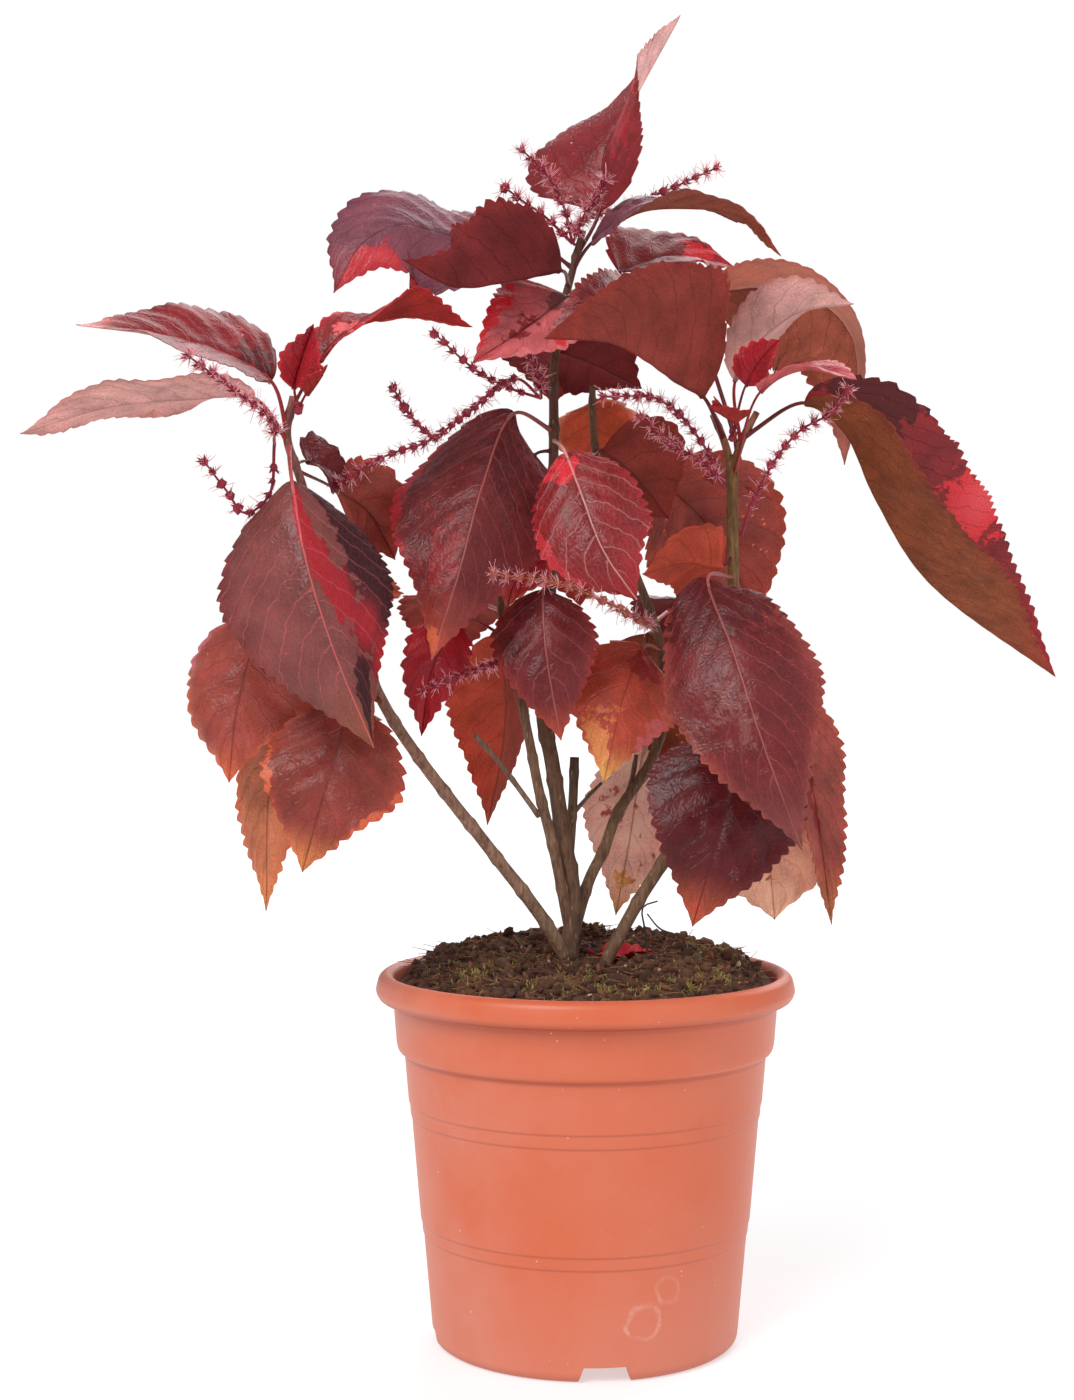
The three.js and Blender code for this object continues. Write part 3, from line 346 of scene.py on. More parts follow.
def noise(points, size, seed):
    """Smooth lumps of about one size from -1 to 1: random values on a lattice of that spacing, blended
    between the corners of each cell by a smooth step."""
    table = np.random.default_rng(seed).uniform(-1, 1, (32, 32, 32))
    base = np.floor(points / size).astype(int)
    share = points / size - base
    share = share**2 * (3 - 2 * share)
    total = 0
    for corner in np.ndindex(2, 2, 2):
        weight = np.prod(np.where(corner, share, 1 - share), axis=-1)
        total = total + weight * table[tuple(np.moveaxis((base + corner) % 32, -1, 0))]
    return total


def soil_height(x, y):
    """Height of the soil: a middle that rises to the back and waves a little, falling to the pot's wall."""
    out = np.hypot(x, y) / (BAND_TOP_RADIUS - WALL)
    lumps = np.sin(0.11 * x + 1.3) * np.sin(0.13 * y + 0.4) + 0.6 * np.sin(0.23 * x - 0.19 * y)
    middle = SOIL_TOP + SOIL_SLOPE * y + SOIL_WAVES * lumps
    fall = SOIL_TOP - SOIL_EDGE + SOIL_WAVES * lumps + SOIL_SLOPE * y
    return middle - fall * out**8


def soil_surface(x, y):
    """The soil's height with clods and crumbs on it: lumps of four sizes, the larger ones folded upwards.
    They fade out at the wall, and the fallen leaf lies in a dent."""
    points = np.stack([x, y, 0 * x], -1)
    clods = 2.4 * np.abs(noise(points, 9, 1)) + 1.8 * np.abs(noise(points, 4.5, 2))
    crumbs = 1.1 * noise(points, 2.4, 3) + 0.5 * noise(points, 1.3, 4)
    dent = 3.0 * np.exp(-(((x - DENT) / 17) ** 2) - ((y / 12) ** 2))
    still = np.clip((BAND_TOP_RADIUS - WALL - np.hypot(x, y)) / 4, 0, 1)
    return soil_height(x, y) + (clods + crumbs - 0.6) * still - dent


# Peat: matt, nearly black where damp, red-brown where the fibres dry out, dusted with moss and pale grit
peat, tree = new_material("damp_peat")
place = add(tree, "TexCoord").outputs["Object"]
damp = add(tree, "TexNoise", {"Vector": place, "Scale": 130.0, "Detail": 8.0, "Roughness": 0.7})
damp = add(tree, "MapRange", {0: damp, 1: 0.32, 2: 0.66})
earth = add(tree, "Mix", {0: damp, 6: linear("#1d100a"), 7: linear("#6d4430")}, data_type="RGBA")
patches = add(tree, "TexNoise", {"Vector": place, "Scale": 34.0, "Detail": 4.0})
patches = add(tree, "MapRange", {0: patches, 1: 0.5, 2: 0.66, 3: 0.0, 4: 0.75})
earth = add(tree, "Mix", {0: patches, 6: earth, 7: linear("#7d5636")}, data_type="RGBA")
tint = add(tree, "Attribute", attribute_name="tint")
earth = add(tree, "Mix", {0: tint.outputs["Alpha"], 6: earth, 7: tint.outputs["Color"]}, data_type="RGBA")
crumb = add(tree, "TexNoise", {"Vector": place, "Scale": 700.0, "Detail": 6.0, "Roughness": 0.7})
relief = add(tree, "Bump", {"Height": crumb, "Strength": 0.8, "Distance": 0.0012})
shader = add(tree, "BsdfPrincipled", {"Base Color": earth, "Roughness": 0.92, "Normal": relief})
add(tree, "OutputMaterial", {"Surface": shader})

# The soil fills the pot up to a hair's breadth from its wall, and its flat top is then lifted to the surface.
inset = WALL + SOIL_GAP
bottom = FLOOR_TOP + SOIL_GAP
side = [(1, bottom), (LOW_RADIUS - inset, bottom), (BAND_BOTTOM_RADIUS - inset, BAND_BOTTOM - 1)]
side += [(BAND_RADIUS - inset, BAND_BOTTOM + 5), (BAND_TOP_RADIUS - inset, BAND_TOP)]
top = np.stack([np.linspace(BAND_TOP_RADIUS - inset, 0.6, 120), np.full(120, SOIL_EDGE)], -1)
points, faces = turned([*side, *top], 280, (bottom, SOIL_EDGE))
on_top = points[:, 2] > SOIL_EDGE - 1
points[on_top, 2] = soil_surface(points[on_top, 0], points[on_top, 1])
piece("peat_soil", points, faces, [peat], "soil", ["soil"], colours={"tint": np.zeros((len(points), 4))})

# Crumbs are twenty-sided lumps, each stretched and turned its own way.
golden = (1 + 5**0.5) / 2
lump = np.array([(s, t * golden, 0) for s in (-1, 1) for t in (-1, 1)])
lump = np.vstack([lump, lump[:, [2, 0, 1]], lump[:, [1, 2, 0]]]) / math.hypot(1, golden)
lump_faces = np.array(
    [(i, j, k) for i in range(12) for j in range(i + 1, 12) for k in range(j + 1, 12)
     if max(np.linalg.norm(lump[a] - lump[b]) for a, b in ((i, j), (j, k), (i, k))) < 1.1]
)
first, second, third = (lump[lump_faces[:, n]] for n in range(3))
inward = np.sum(np.cross(second - first, third - first) * first, axis=1) < 0
lump_faces[inward] = lump_faces[inward][:, ::-1]


def lumps_at(centres, sizes, seed, shape=(1, 1, 1), rough=0.35):
    """A twenty-sided lump at each centre: its corners pushed in and out at random, stretched and turned."""
    dice = np.random.default_rng(seed)
    corners = lump * (1 + dice.uniform(-rough, rough, (len(centres), 12, 1))) * shape
    turns = np.linalg.qr(dice.normal(size=(len(centres), 3, 3)))[0]
    turns *= np.sign(np.linalg.det(turns))[:, None, None]
    corners = np.einsum("nij,nkj->nik", corners * np.asarray(sizes)[:, None, None], turns)
    faces = lump_faces[None] + 12 * np.arange(len(centres))[:, None, None]
    return (corners + centres[:, None]).reshape(-1, 3), [faces.reshape(-1, 3)]


def strands(starts, directions, lengths, radii, sag, taper, steps=3):
    """Many thin three-sided hairs at once. Each runs from its start along its direction, bends by sag times
    the square of its share, and thins to the tip; a ring of corners stands at each step."""
    directions = directions / np.linalg.norm(directions, axis=1, keepdims=True)
    lengths = np.broadcast_to(lengths, len(starts))[:, None, None]
    share = np.linspace(0, 1, steps + 1)[None, :, None]
    centres = starts[:, None] + directions[:, None] * lengths * share + sag[:, None] * lengths * share**2
    spare = np.where(np.abs(directions[:, 2:]) < 0.8, [[0, 0, 1.0]], [[1.0, 0, 0]])
    first = np.cross(directions, spare)
    first /= np.linalg.norm(first, axis=1, keepdims=True)
    second = np.cross(directions, first)
    angle = np.arange(3) * 2 * np.pi / 3
    ring = np.cos(angle)[:, None] * first[:, None] + np.sin(angle)[:, None] * second[:, None]
    width = np.broadcast_to(radii, len(starts))[:, None, None, None] * (1 - taper * share[..., None])
    points = centres[:, :, None] + ring[:, None] * width
    size = 3 * (steps + 1)
    shift = (size * np.arange(len(starts)))[:, None, None]
    walls = (grid(steps + 1, 3, wrap=True)[None] + shift).reshape(-1, 4)
    ends = (np.array([(2, 1, 0), (size - 3, size - 2, size - 1)])[None] + shift).reshape(-1, 3)
    return points.reshape(-1, 3), [walls, ends]


dice = np.random.default_rng(20)


def scatter(count):
    """Even random places on the soil outside the dent, as points on its surface: the distance from the
    middle goes as the square root of an even random number."""
    out = SOIL_REACH * np.sqrt(dice.uniform(0, 1, count))
    turn = dice.uniform(0, 2 * np.pi, count)
    x, y = out * np.cos(turn), out * np.sin(turn)
    keep = np.hypot(x - DENT, y) > DENT_CLEARANCE
    x, y = x[keep], y[keep]
    return np.stack([x, y, soil_surface(x, y)], -1)


# Loose bits: how many, their sizes and shape, their colour and how strongly it covers, how high they stand
for name, count, sizes, shape, code, strength, raised in [
    ("peat_crumbs", 1700, (0.7, 2.6), (1, 1, 0.8), "#4a2c1e", 0.4, 0.25),
    ("peat_clods", 240, (2.2, 5.0), (1.2, 1, 0.7), "#3a2116", 0.3, 0.1),
    ("bark_bits", 420, (0.9, 3.0), (1.6, 0.6, 0.4), "#85533a", 0.85, 0.4),
    ("pale_grit", 110, (0.5, 1.7), (1.3, 1, 0.6), "#cdb08c", 1.0, 0.4),
]:
    centres = scatter(count)
    widths = dice.uniform(*sizes, len(centres)) * dice.uniform(0.5, 1, len(centres))
    centres[:, 2] += widths * raised
    points, faces = lumps_at(centres, widths, count, shape)
    tint = np.tile([*linear(code)[:3], strength], (len(points), 1))
    piece(name, points, faces, [peat], "soil", ["soil"], colours={"tint": tint})

# Fibres lie loosely on the soil and curl, most of them red-brown and the rest straw-coloured.
starts = scatter(1300)
level = dice.uniform(0, 2 * np.pi, len(starts))
headings = np.stack([np.cos(level), np.sin(level), dice.uniform(-0.05, 0.3, len(starts))], -1)
curls = np.stack([np.sin(level), -np.cos(level), -np.abs(headings[:, 2])], -1)
curls *= dice.uniform(-0.5, 0.5, (len(starts), 1))
points, faces = strands(starts, headings, dice.uniform(3, 12, len(starts)), 0.26, curls, steps=5, taper=0.5)
pale = (dice.uniform(size=len(starts)) >= 0.6).astype(int)
tint = np.array([linear("#8a4f33"), linear("#a98259")])[pale]
tint = np.repeat(tint, len(points) // len(starts), axis=0)
piece("peat_fibres", points, faces, [peat], "soil", ["soil"], colours={"tint": tint})

# Moss: small tufts of pointed yellow-green shoots, soft and matt
moss, tree = new_material("living_moss")
place = add(tree, "TexCoord").outputs["Object"]
fresh = add(tree, "TexNoise", {"Vector": place, "Scale": 260.0, "Detail": 3.0})
green = add(tree, "Mix", {0: fresh, 6: linear("#5f5620"), 7: linear("#bcae5c")}, data_type="RGBA")
shader = add(tree, "BsdfPrincipled", {"Base Color": green, "Roughness": 0.85})
add(tree, "OutputMaterial", {"Surface": shader})

# Each tuft: where it grows, and its size
TUFTS = [
    (-52, -42, 9), (-20, -62, 11), (8, -66, 9), (2, -48, 8), (44, -58, 8), (-66, -16, 7), (-40, -20, 6),
    (24, -70, 7), (62, -40, 6), (-8, -30, 5), (-58, 30, 8), (52, 20, 7), (10, 58, 8), (-30, 64, 6),
    (68, 6, 5),
]
starts = []
for x, y, size in TUFTS:
    spot = dice.normal(0, 0.62 * size, (int(13 * size), 2)) + (x, y)
    spot = spot[np.hypot(*spot.T) < SOIL_REACH]
    starts.append(np.stack([*spot.T, soil_surface(*spot.T) - 0.4], -1))
starts = np.vstack([*starts, scatter(500) - (0, 0, 0.4)])
headings = dice.normal(0, 0.6, starts.shape) + (0, 0, 1.0)
lengths = dice.uniform(1.2, 3.2, len(starts))
points, faces = strands(starts, headings, lengths, 0.5, 0 * starts, steps=2, taper=0.85)
piece("moss_tufts", points, faces, [moss], "soil", ["soil"])

# Stems: the woody trunk and the limbs that fork from it, and a second stem beside it. The bark is
# brown-grey and furrowed at the foot, and reddish to olive green on the young wood, with a swollen ring
# at each node.


SPAN_STEPS = 60


def along(points, shares):
    """Places and directions at shares of the length of a curve through the points, with the length of the
    curve up to each point. Each span is the cubic whose end slopes weigh the chords by their square roots."""
    knots = np.array(points, float)
    knots = np.vstack([2 * knots[0] - knots[1], knots, 2 * knots[-1] - knots[-2]])
    root = np.linalg.norm(np.diff(knots, axis=0), axis=1)[:, None] ** 0.5
    spans = len(points) - 1
    t = np.linspace(0, spans, SPAN_STEPS * spans + 1)
    span = np.minimum(t.astype(int), spans - 1)
    w = t[:, None] - span[:, None]
    p0, p1, p2, p3 = (knots[span + k] for k in range(4))
    a, b, c = (root[span + k] for k in range(3))
    leave = b * ((p1 - p0) / a - (p2 - p0) / (a + b) + (p2 - p1) / b)
    meet = b * ((p2 - p1) / b - (p3 - p1) / (b + c) + (p3 - p2) / c)
    places = p1 + leave * w + (3 * (p2 - p1) - 2 * leave - meet) * w**2
    places += (2 * (p1 - p2) + leave + meet) * w**3
    runs = np.concatenate([[0], np.cumsum(np.linalg.norm(np.diff(places, axis=0), axis=1))])
    slopes = np.gradient(places, runs, axis=0)
    at = np.asarray(shares) * runs[-1]
    both = [np.stack([np.interp(at, runs, each[:, k]) for k in range(3)], -1) for each in (places, slopes)]
    both[1] /= np.linalg.norm(both[1], axis=1, keepdims=True)
    return both[0], both[1], runs[::SPAN_STEPS]


def crosswise(forward, up):
    """A direction next to each step of a course: up less its part along the course, at length one, and the
    direction square to both."""
    lift = up - np.sum(up * forward, axis=1, keepdims=True) * forward
    lift /= np.linalg.norm(lift, axis=1, keepdims=True)
    return lift, np.cross(forward, lift)


def swept(points, radii, sides, length_step, swell=None):
    """Carries a circle along the curve through the points. The ring at each step stands across the curve,
    its first corner towards a fixed side, and its radius runs from one end's to the other's. swell changes
    the radius, as a function of the length run and of the angle. Both ends are closed by a fan."""
    total = along(points, [0.0])[2][-1]
    count = max(4, int(total / length_step))
    share = np.linspace(0, 1, count + 1)
    centres, forward, _ = along(points, share)
    first, second = crosswise(forward, np.eye(3)[np.argmin(np.abs(forward).max(axis=0))])
    angle = np.arange(sides) * 2 * np.pi / sides
    radius = (radii[0] + (radii[1] - radii[0]) * share)[:, None] * np.ones(sides)
    if swell:
        radius = radius + swell(share[:, None] * total, angle[None])
    ring = np.cos(angle)[None, :, None] * first[:, None] + np.sin(angle)[None, :, None] * second[:, None]
    rings = (centres[:, None] + ring * radius[..., None]).reshape(-1, 3)
    corner = np.arange(sides)
    beside = (corner + 1) % sides
    last = count * sides
    ends = [np.stack([0 * corner + len(rings), beside, corner], -1)]
    ends.append(np.stack([0 * corner + len(rings) + 1, corner + last, beside + last], -1))
    points = np.vstack([rings, centres[:1], centres[-1:]])
    return points, [grid(count + 1, sides, wrap=True), *ends], np.append(np.repeat(share, sides), [0, 1])


def merged(parts):
    """Joins several lists of points and faces into one, each part's faces counted on from the last."""
    starts = np.cumsum([0] + [len(part[0]) for part in parts])
    points = np.vstack([part[0] for part in parts])
    faces = [each + start for part, start in zip(parts, starts) for each in part[1]]
    return points, faces


# Bark: matt and finely cracked, lighter where it is weathered and green or red where it is young
bark, tree = new_material("furrowed_bark")
place = add(tree, "TexCoord").outputs["Object"]
tone = add(tree, "Attribute", attribute_name="tone")
upright = add(tree, "Mapping", {"Vector": place, "Scale": (1, 1, 0.22)})
fissure = add(tree, "TexNoise", {"Vector": upright, "Scale": 620.0, "Detail": 5.0, "Roughness": 0.65})
cracks = add(tree, "MapRange", {0: fissure, 1: 0.36, 2: 0.6})
cloud = add(tree, "TexNoise", {"Vector": place, "Scale": 90.0, "Detail": 4.0})
cloud = add(tree, "MapRange", {0: cloud, 1: 0.35, 2: 0.7, 3: 0.78, 4: 1.2})
dark = add(tree, "MixRGB", {0: 1.0, 1: tone.outputs["Color"], 2: linear("#b8a79c")}, blend_type="MULTIPLY")
skin = add(tree, "Mix", {0: cracks, 6: dark, 7: tone.outputs["Color"]}, data_type="RGBA")
skin = add(tree, "VectorMath", {0: skin, 3: cloud}, operation="SCALE")
pores = add(tree, "TexVoronoi", {"Vector": upright, "Scale": 420.0})
pores = add(tree, "MapRange", {0: pores, 1: 0.1, 2: 0.2, 3: 0.55, 4: 0.0})
skin = add(tree, "Mix", {0: pores, 6: skin, 7: linear("#a48a72")}, data_type="RGBA")
relief = add(tree, "Bump", {"Height": cracks, "Strength": 0.3, "Distance": 0.0004})
shader = add(tree, "BsdfPrincipled", {"Base Color": skin, "Roughness": 0.72, "Normal": relief})
add(tree, "OutputMaterial", {"Surface": shader})

# Each limb: radius at its foot and at its tip, colour of its old and of its young wood, centre line
TRUNK_LIMBS = [
    (5.2, 1.6, "#6f5239", "#70432f", [
        (-7, -8, 140), (-8, -7, 178), (-6, -4, 210), (-11, -4, 243), (-16, -3, 276), (-20, -2, 298),
        (-18, -1, 333), (-16, 0, 371), (-15, 3, 426), (-14, 8, 474), (-5, 9, 514), (-1, 10, 529)]),
    (3.6, 1.8, "#9a7b62", "#8e524c", [
        (-8, -8, 180), (-19, -14, 200), (-45, -28, 236), (-63, -38, 260), (-78, -48, 281),
        (-93, -58, 306), (-113, -70, 355), (-127, -79, 403), (-133, -80, 423), (-130, -80, 440)]),
    (3.2, 1.6, "#83624a", "#7a5239", [
        (-7, -6, 194), (-15, -10, 234), (-22, -12, 262), (-27, -13, 288), (-34, -14, 321),
        (-40, -14, 347), (-38, -12, 371)]),
    (3.2, 1.6, "#7f5f45", "#735134", [
        (-6, -2, 192), (2, 6, 218), (9, 9, 232), (16, 12, 250), (31, 12, 273), (37, 14, 290),
        (38, 14, 309), (36, 14, 333), (22, 16, 372), (8, 22, 411), (4, 24, 440), (4, 24, 457)]),
    (1.6, 1.0, "#745a48", "#6b4e3c", [(17, 12, 251), (22, 13, 263), (25, 13, 278)]),
    (2.6, 2.2, "#80654f", "#6b513c", [(-8, -4, 228), (-6, 5, 252), (-5, 8, 277)]),
    (1.2, 0.7, "#745a48", "#6b4e3c", [(-5, 4, 251), (2, 4, 259), (8, 4, 265)]),
    (1.5, 1.1, "#8c6f5a", "#745a48", [(-22, -11, 250), (-40, -20, 275), (-52, -26, 289)]),
]
RIGHT_LIMBS = [
    (3.4, 2.7, "#7a5845", "#83602c", [
        (4, -22, 150), (9, -20, 181), (16, -19, 195), (25, -17, 211), (39, -15, 234), (54, -11, 272),
        (65, -6, 314), (70, -1, 357), (70, 1, 390), (70, 3, 421)]),
    (2.3, 1.6, "#946b38", "#9c5a4a", [(70, 2, 414), (66, 4, 429), (61, 6, 441)]),
    (2.3, 1.6, "#946b38", "#9c5a4a", [(70, 2, 414), (75, 4, 429), (82, 6, 442)]),
]
NODE_SPACING = 21
# The feet are drawn a tenth slimmer, as they look on the plant.
FOOT_SHARE = 0.9


def ridges(foot, seed):
    """How far the bark of a limb stands out, as a function of the length run and of the angle: a ring at each
    node that falls off as exp(-d^2/4), and long furrows of smooth noise, both as shares of the foot's
    radius."""

    def swell(run, angle):
        node = (run + 9) % NODE_SPACING - NODE_SPACING / 2
        furrow = np.stack([2 * np.cos(angle) + 0 * run, 2 * np.sin(angle) + 0 * run, run / 9 + 0 * angle], -1)
        return 0.14 * foot * np.exp(-(node**2) / 4) + 0.035 * foot * noise(furrow, 1.3, seed)

    return swell


def blend(first, second, share):
    """One value changing to another: the first times one less the share, plus the second times the share."""
    return first * (1 - share) + second * share


for name, node, limbs in [
    ("trunk_bark", "trunk_and_limbs", TRUNK_LIMBS),
    ("right_stem_bark", "right_stem", RIGHT_LIMBS),
]:
    parts = []
    tones = []
    for number, (foot, tip, old, young, route) in enumerate(limbs):
        points, faces, share = swept(route, (FOOT_SHARE * foot, tip), 18, 2.2, ridges(foot, number))
        parts.append((points, faces))
        tones.append(blend(np.array(linear(old)), np.array(linear(young)), share[:, None]))
    piece(name, *merged(parts), [bark], "bark", [node], colours={"tone": np.vstack(tones)})

# Points all along the stems, on which the leaves' stalks are rooted
stem_centres = np.vstack([along(limb[-1], np.linspace(0, 1, 400))[0] for limb in TRUNK_LIMBS + RIGHT_LIMBS])

# Two dry bits of root, thin and nearly black, stand out of the soil by the right stem.
DRY_ROOTS = [
    [(30, -14, 178), (28, -13, 196), (27, -12, 207), (34, -12, 210)],
    [(45, -14, 178), (46, -13, 192), (35, -13, 197), (29, -12, 204)],
]
points, faces = merged([swept(route, (0.65, 0.4), 6, 2.5)[:2] for route in DRY_ROOTS])
tones = np.tile(linear("#3a2a20"), (len(points), 1))
piece("dry_roots", points, faces, [bark], "soil", ["soil"], colours={"tone": tones})

# Leaves: thin copper-red blades with toothed margins, a midrib and curved side veins, each on its own
# petiole. The blade is puffed up between the veins. Its upper face is glossy and its underside matt.

# Peach and shell are painted light: near-white colours that stand in for the glow of leaves lit from behind.
TISSUE = {
    "ink": "#331016", "wine": "#541619", "maroon": "#682023", "garnet": "#832225", "brick": "#952d28",
    "crimson": "#a01e28", "cherry": "#b83039", "scarlet": "#d02b35", "rose": "#e5686a", "blush": "#ecb4ae",
    "tan": "#c8958d", "fawn": "#b5685f", "mauve": "#7b4450", "plum": "#6b3040", "russet": "#78403c",
    "umber": "#70292a", "chestnut": "#84382f", "sienna": "#98453a", "copper": "#b04a37", "clay": "#98523f",
    "brass": "#b06646", "rust": "#c8603f", "amber": "#d6844f", "pink": "#bf5c5e", "gold": "#e0aa5a",
    "olive": "#87492f", "peach": "#ffc6a6", "shell": "#ffd0bc",
}


def leaf_tissue(name, roughness, veins_raised, shine, depth):
    """The material of one face of a leaf. It reads the blade's attributes: its colour, the colour and the
    amount of the patches flushed over it, the colour and strength of its veins, and how far a point lies
    from the midrib and from the nearest side vein. Its fine net of veins comes from the blade's own UV."""
    made, tree = new_material(name)
    flat = add(tree, "UVMap", uv_map="blade")
    tissue = add(tree, "Attribute", attribute_name="tissue")
    flush = add(tree, "Attribute", attribute_name="flush")
    vein = add(tree, "Attribute", attribute_name="vein")
    marks = add(tree, "Attribute", attribute_name="lines")
    lines = add(tree, "SeparateXYZ", {0: marks.outputs["Vector"]})
    wander = add(tree, "TexNoise", {"Vector": flat, "Scale": 0.1, "Detail": 3.0})
    swing = wander.outputs["Color"]
    bent = add(tree, "VectorMath", {0: swing, 1: (9, 9, 0), 2: flat}, operation="MULTIPLY_ADD")

    # lines holds a phase that is a whole number on each side vein, the way from the rib, and the span between
    # veins, both in millimetres. Finer rungs cross between the veins, and a net of cells fills the rest.
    phase = add(tree, "Math", {0: wander, 1: 0.7, 2: lines.outputs["X"]}, operation="MULTIPLY_ADD")
    away = add(tree, "Math", {0: phase, 1: 0.5}, operation="PINGPONG")
    away = add(tree, "Math", {0: away, 1: lines.outputs["Z"]}, operation="MULTIPLY")
    side_vein = add(tree, "MapRange", {0: away, 1: 0.15, 2: 0.75, 3: 0.75, 4: 0.0},
                    interpolation_type="SMOOTHSTEP")
    middle = add(tree, "Math", {0: lines.outputs["Y"]}, operation="ABSOLUTE")
    midrib = add(tree, "MapRange", {0: middle, 1: 0.3, 2: 1.0, 3: 1.0, 4: 0.0},
                 interpolation_type="SMOOTHSTEP")
    row = add(tree, "Math", {0: phase}, operation="FLOOR")
    rung = add(tree, "Math", {0: row, 1: 1.7, 2: lines.outputs["Y"]}, operation="MULTIPLY_ADD")
    rung = add(tree, "Math", {0: wander, 1: 16.0, 2: rung}, operation="MULTIPLY_ADD")
    rung = add(tree, "Math", {0: rung, 1: 2.4}, operation="PINGPONG")
    rung = add(tree, "MapRange", {0: rung, 1: 0.1, 2: 0.4, 3: 0.24, 4: 0.0})
    net = add(tree, "TexVoronoi", {"Vector": bent, "Scale": 0.42}, feature="DISTANCE_TO_EDGE",
              voronoi_dimensions="2D")
    web = add(tree, "MapRange", {0: net, 1: 0.0, 2: 0.09, 3: 0.16, 4: 0.0})
    web = add(tree, "Math", {0: web, 1: rung}, operation="MAXIMUM")
    strong = add(tree, "Math", {0: side_vein, 1: midrib}, operation="MAXIMUM")
    thin = add(tree, "Math", {0: side_vein, 1: web}, operation="MAXIMUM")

    # Mottling: soft clouds of darker tissue, then the flushed patches with their ragged edges
    cloud = add(tree, "TexNoise", {"Vector": flat, "Scale": 0.06, "Detail": 6.0, "Roughness": 0.62})
    shade = add(tree, "MapRange", {0: cloud, 1: 0.3, 2: 0.7, 3: 0.68, 4: 1.3})
    body = add(tree, "VectorMath", {0: tissue.outputs["Color"], 3: shade}, operation="SCALE")
    ragged = add(tree, "TexNoise", {"Vector": flat, "Scale": 0.13, "Detail": 5.0, "Roughness": 0.6})
    spread = add(tree, "Math", {0: ragged, 1: flush.outputs["Alpha"]}, operation="ADD")
    patch = add(tree, "MapRange", {0: spread, 1: 0.93, 2: 1.0}, interpolation_type="SMOOTHSTEP")
    body = add(tree, "Mix", {0: patch, 6: body, 7: flush.outputs["Color"]}, data_type="RGBA")
    grain = add(tree, "TexNoise", {"Vector": flat, "Scale": 1.1, "Detail": 4.0})
    grain = add(tree, "MapRange", {0: grain, 1: 0.3, 2: 0.7, 3: 0.8, 4: 1.2})
    body = add(tree, "VectorMath", {0: body, 3: grain}, operation="SCALE")
    thin = add(tree, "Math", {0: thin, 1: vein.outputs["Alpha"]}, operation="MULTIPLY")
    broad = add(tree, "Math", {0: midrib, 1: 0.55}, operation="MULTIPLY")
    inked = add(tree, "Math", {0: thin, 1: broad}, operation="MAXIMUM")
    body = add(tree, "Mix", {0: inked, 6: body, 7: vein.outputs["Color"]}, data_type="RGBA")

    # Relief: the veins sink into the upper face and stand out below, with soft puckers between them
    pucker = add(tree, "MapRange", {0: net, 1: 0.0, 2: 0.5, 3: 0.0, 4: 0.34})
    height = add(tree, "Math", {0: wander, 1: 2.4, 2: pucker}, operation="MULTIPLY_ADD")
    height = add(tree, "Math", {0: height, 1: strong}, operation="SUBTRACT")
    relief = add(tree, "Bump", {"Height": height, "Strength": depth, "Distance": 0.0006}, invert=veins_raised)
    gloss = add(tree, "MapRange", {0: cloud, 1: 0.3, 2: 0.7, 3: roughness - 0.04, 4: roughness + 0.1})
    shader = add(tree, "BsdfPrincipled", {
        "Base Color": body, "Roughness": gloss, "Normal": relief, "Specular IOR Level": shine,
        "Subsurface Weight": 0.3, "Subsurface Radius": (1.0, 0.3, 0.2), "Subsurface Scale": 0.0012,
    })
    add(tree, "OutputMaterial", {"Surface": shader})
    return made


# The upper face has a waxy skin with a broad soft shine; the underside is dull and shows its raised veins.
cuticle = leaf_tissue("waxy_leaf_upper_face", 0.32, False, 0.24, 0.55)
underside = leaf_tissue("matt_leaf_underside", 0.72, True, 0.1, 0.14)

# Side veins and teeth stand this many millimetres apart. A vein slants by a share of the blade's length on
# its way out. A tooth leans to the tip, with its crest at 0.72 of its length, and the teeth take up nearly
# the whole margin. Blades narrower than the full width are puffed up less.
VEIN_SPACING = 13
VEIN_SLANT = 0.3
TOOTH_SPACING = 5.6
TOOTH_REACH = 2.3
TOOTH_CREST = 0.72
TOOTHED_FROM = 0.025
TOOTHED_SPAN = 0.965
FULL_WIDTH = 55
TISSUE_THICKNESS = 0.34
STALK_RINGS = 18
STALK_SIDES = 8
# The columns of a blade stand closer together by the rib and by the margin.
outward = np.array([0.03, 0.08, 0.16, 0.26, 0.38, 0.5, 0.62, 0.74, 0.85, 0.94, 1.0])
ACROSS = np.concatenate([-outward[::-1], [0], outward])


def outline(u, widest):
    """Half the blade's width as a share of its greatest: (1 - (1 - u/m)^2)^0.65 up to the widest share m of
    the length, then (1 - t^1.6)^1.25 to the tip, where t is the share of the way from m."""
    widening = (1 - np.clip(1 - u / widest, 0, 1) ** 2) ** 0.65
    narrowing = (1 - np.clip((u - widest) / (1 - widest), 0, 1) ** 1.6) ** 1.25
    return np.where(u < widest, widening, narrowing)


def saw(u, v, teeth, seed):
    """The margin's teeth: each rises as a power of 0.6 to its crest and falls straight to the next, from 0.45
    below the outline to 0.55 above it, times a random height. They fade out at the base and at the tip."""
    turn = (u - TOOTHED_FROM) / TOOTHED_SPAN * teeth
    number = np.clip(turn[:, 0].astype(int), 0, teeth)
    heights = np.random.default_rng(seed).uniform(0.5, 1.35, (2, teeth + 1))
    uneven = np.where(v < 0, heights[0][number, None], heights[1][number, None])
    cycle = turn % 1.0
    tooth = np.where(cycle < TOOTH_CREST, (cycle / TOOTH_CREST) ** 0.6, (1 - cycle) / (1 - TOOTH_CREST))
    return uneven * (tooth - 0.45) * np.clip((u - 0.03) / 0.04, 0, 1) * np.clip((1 - u) / 0.03, 0, 1)


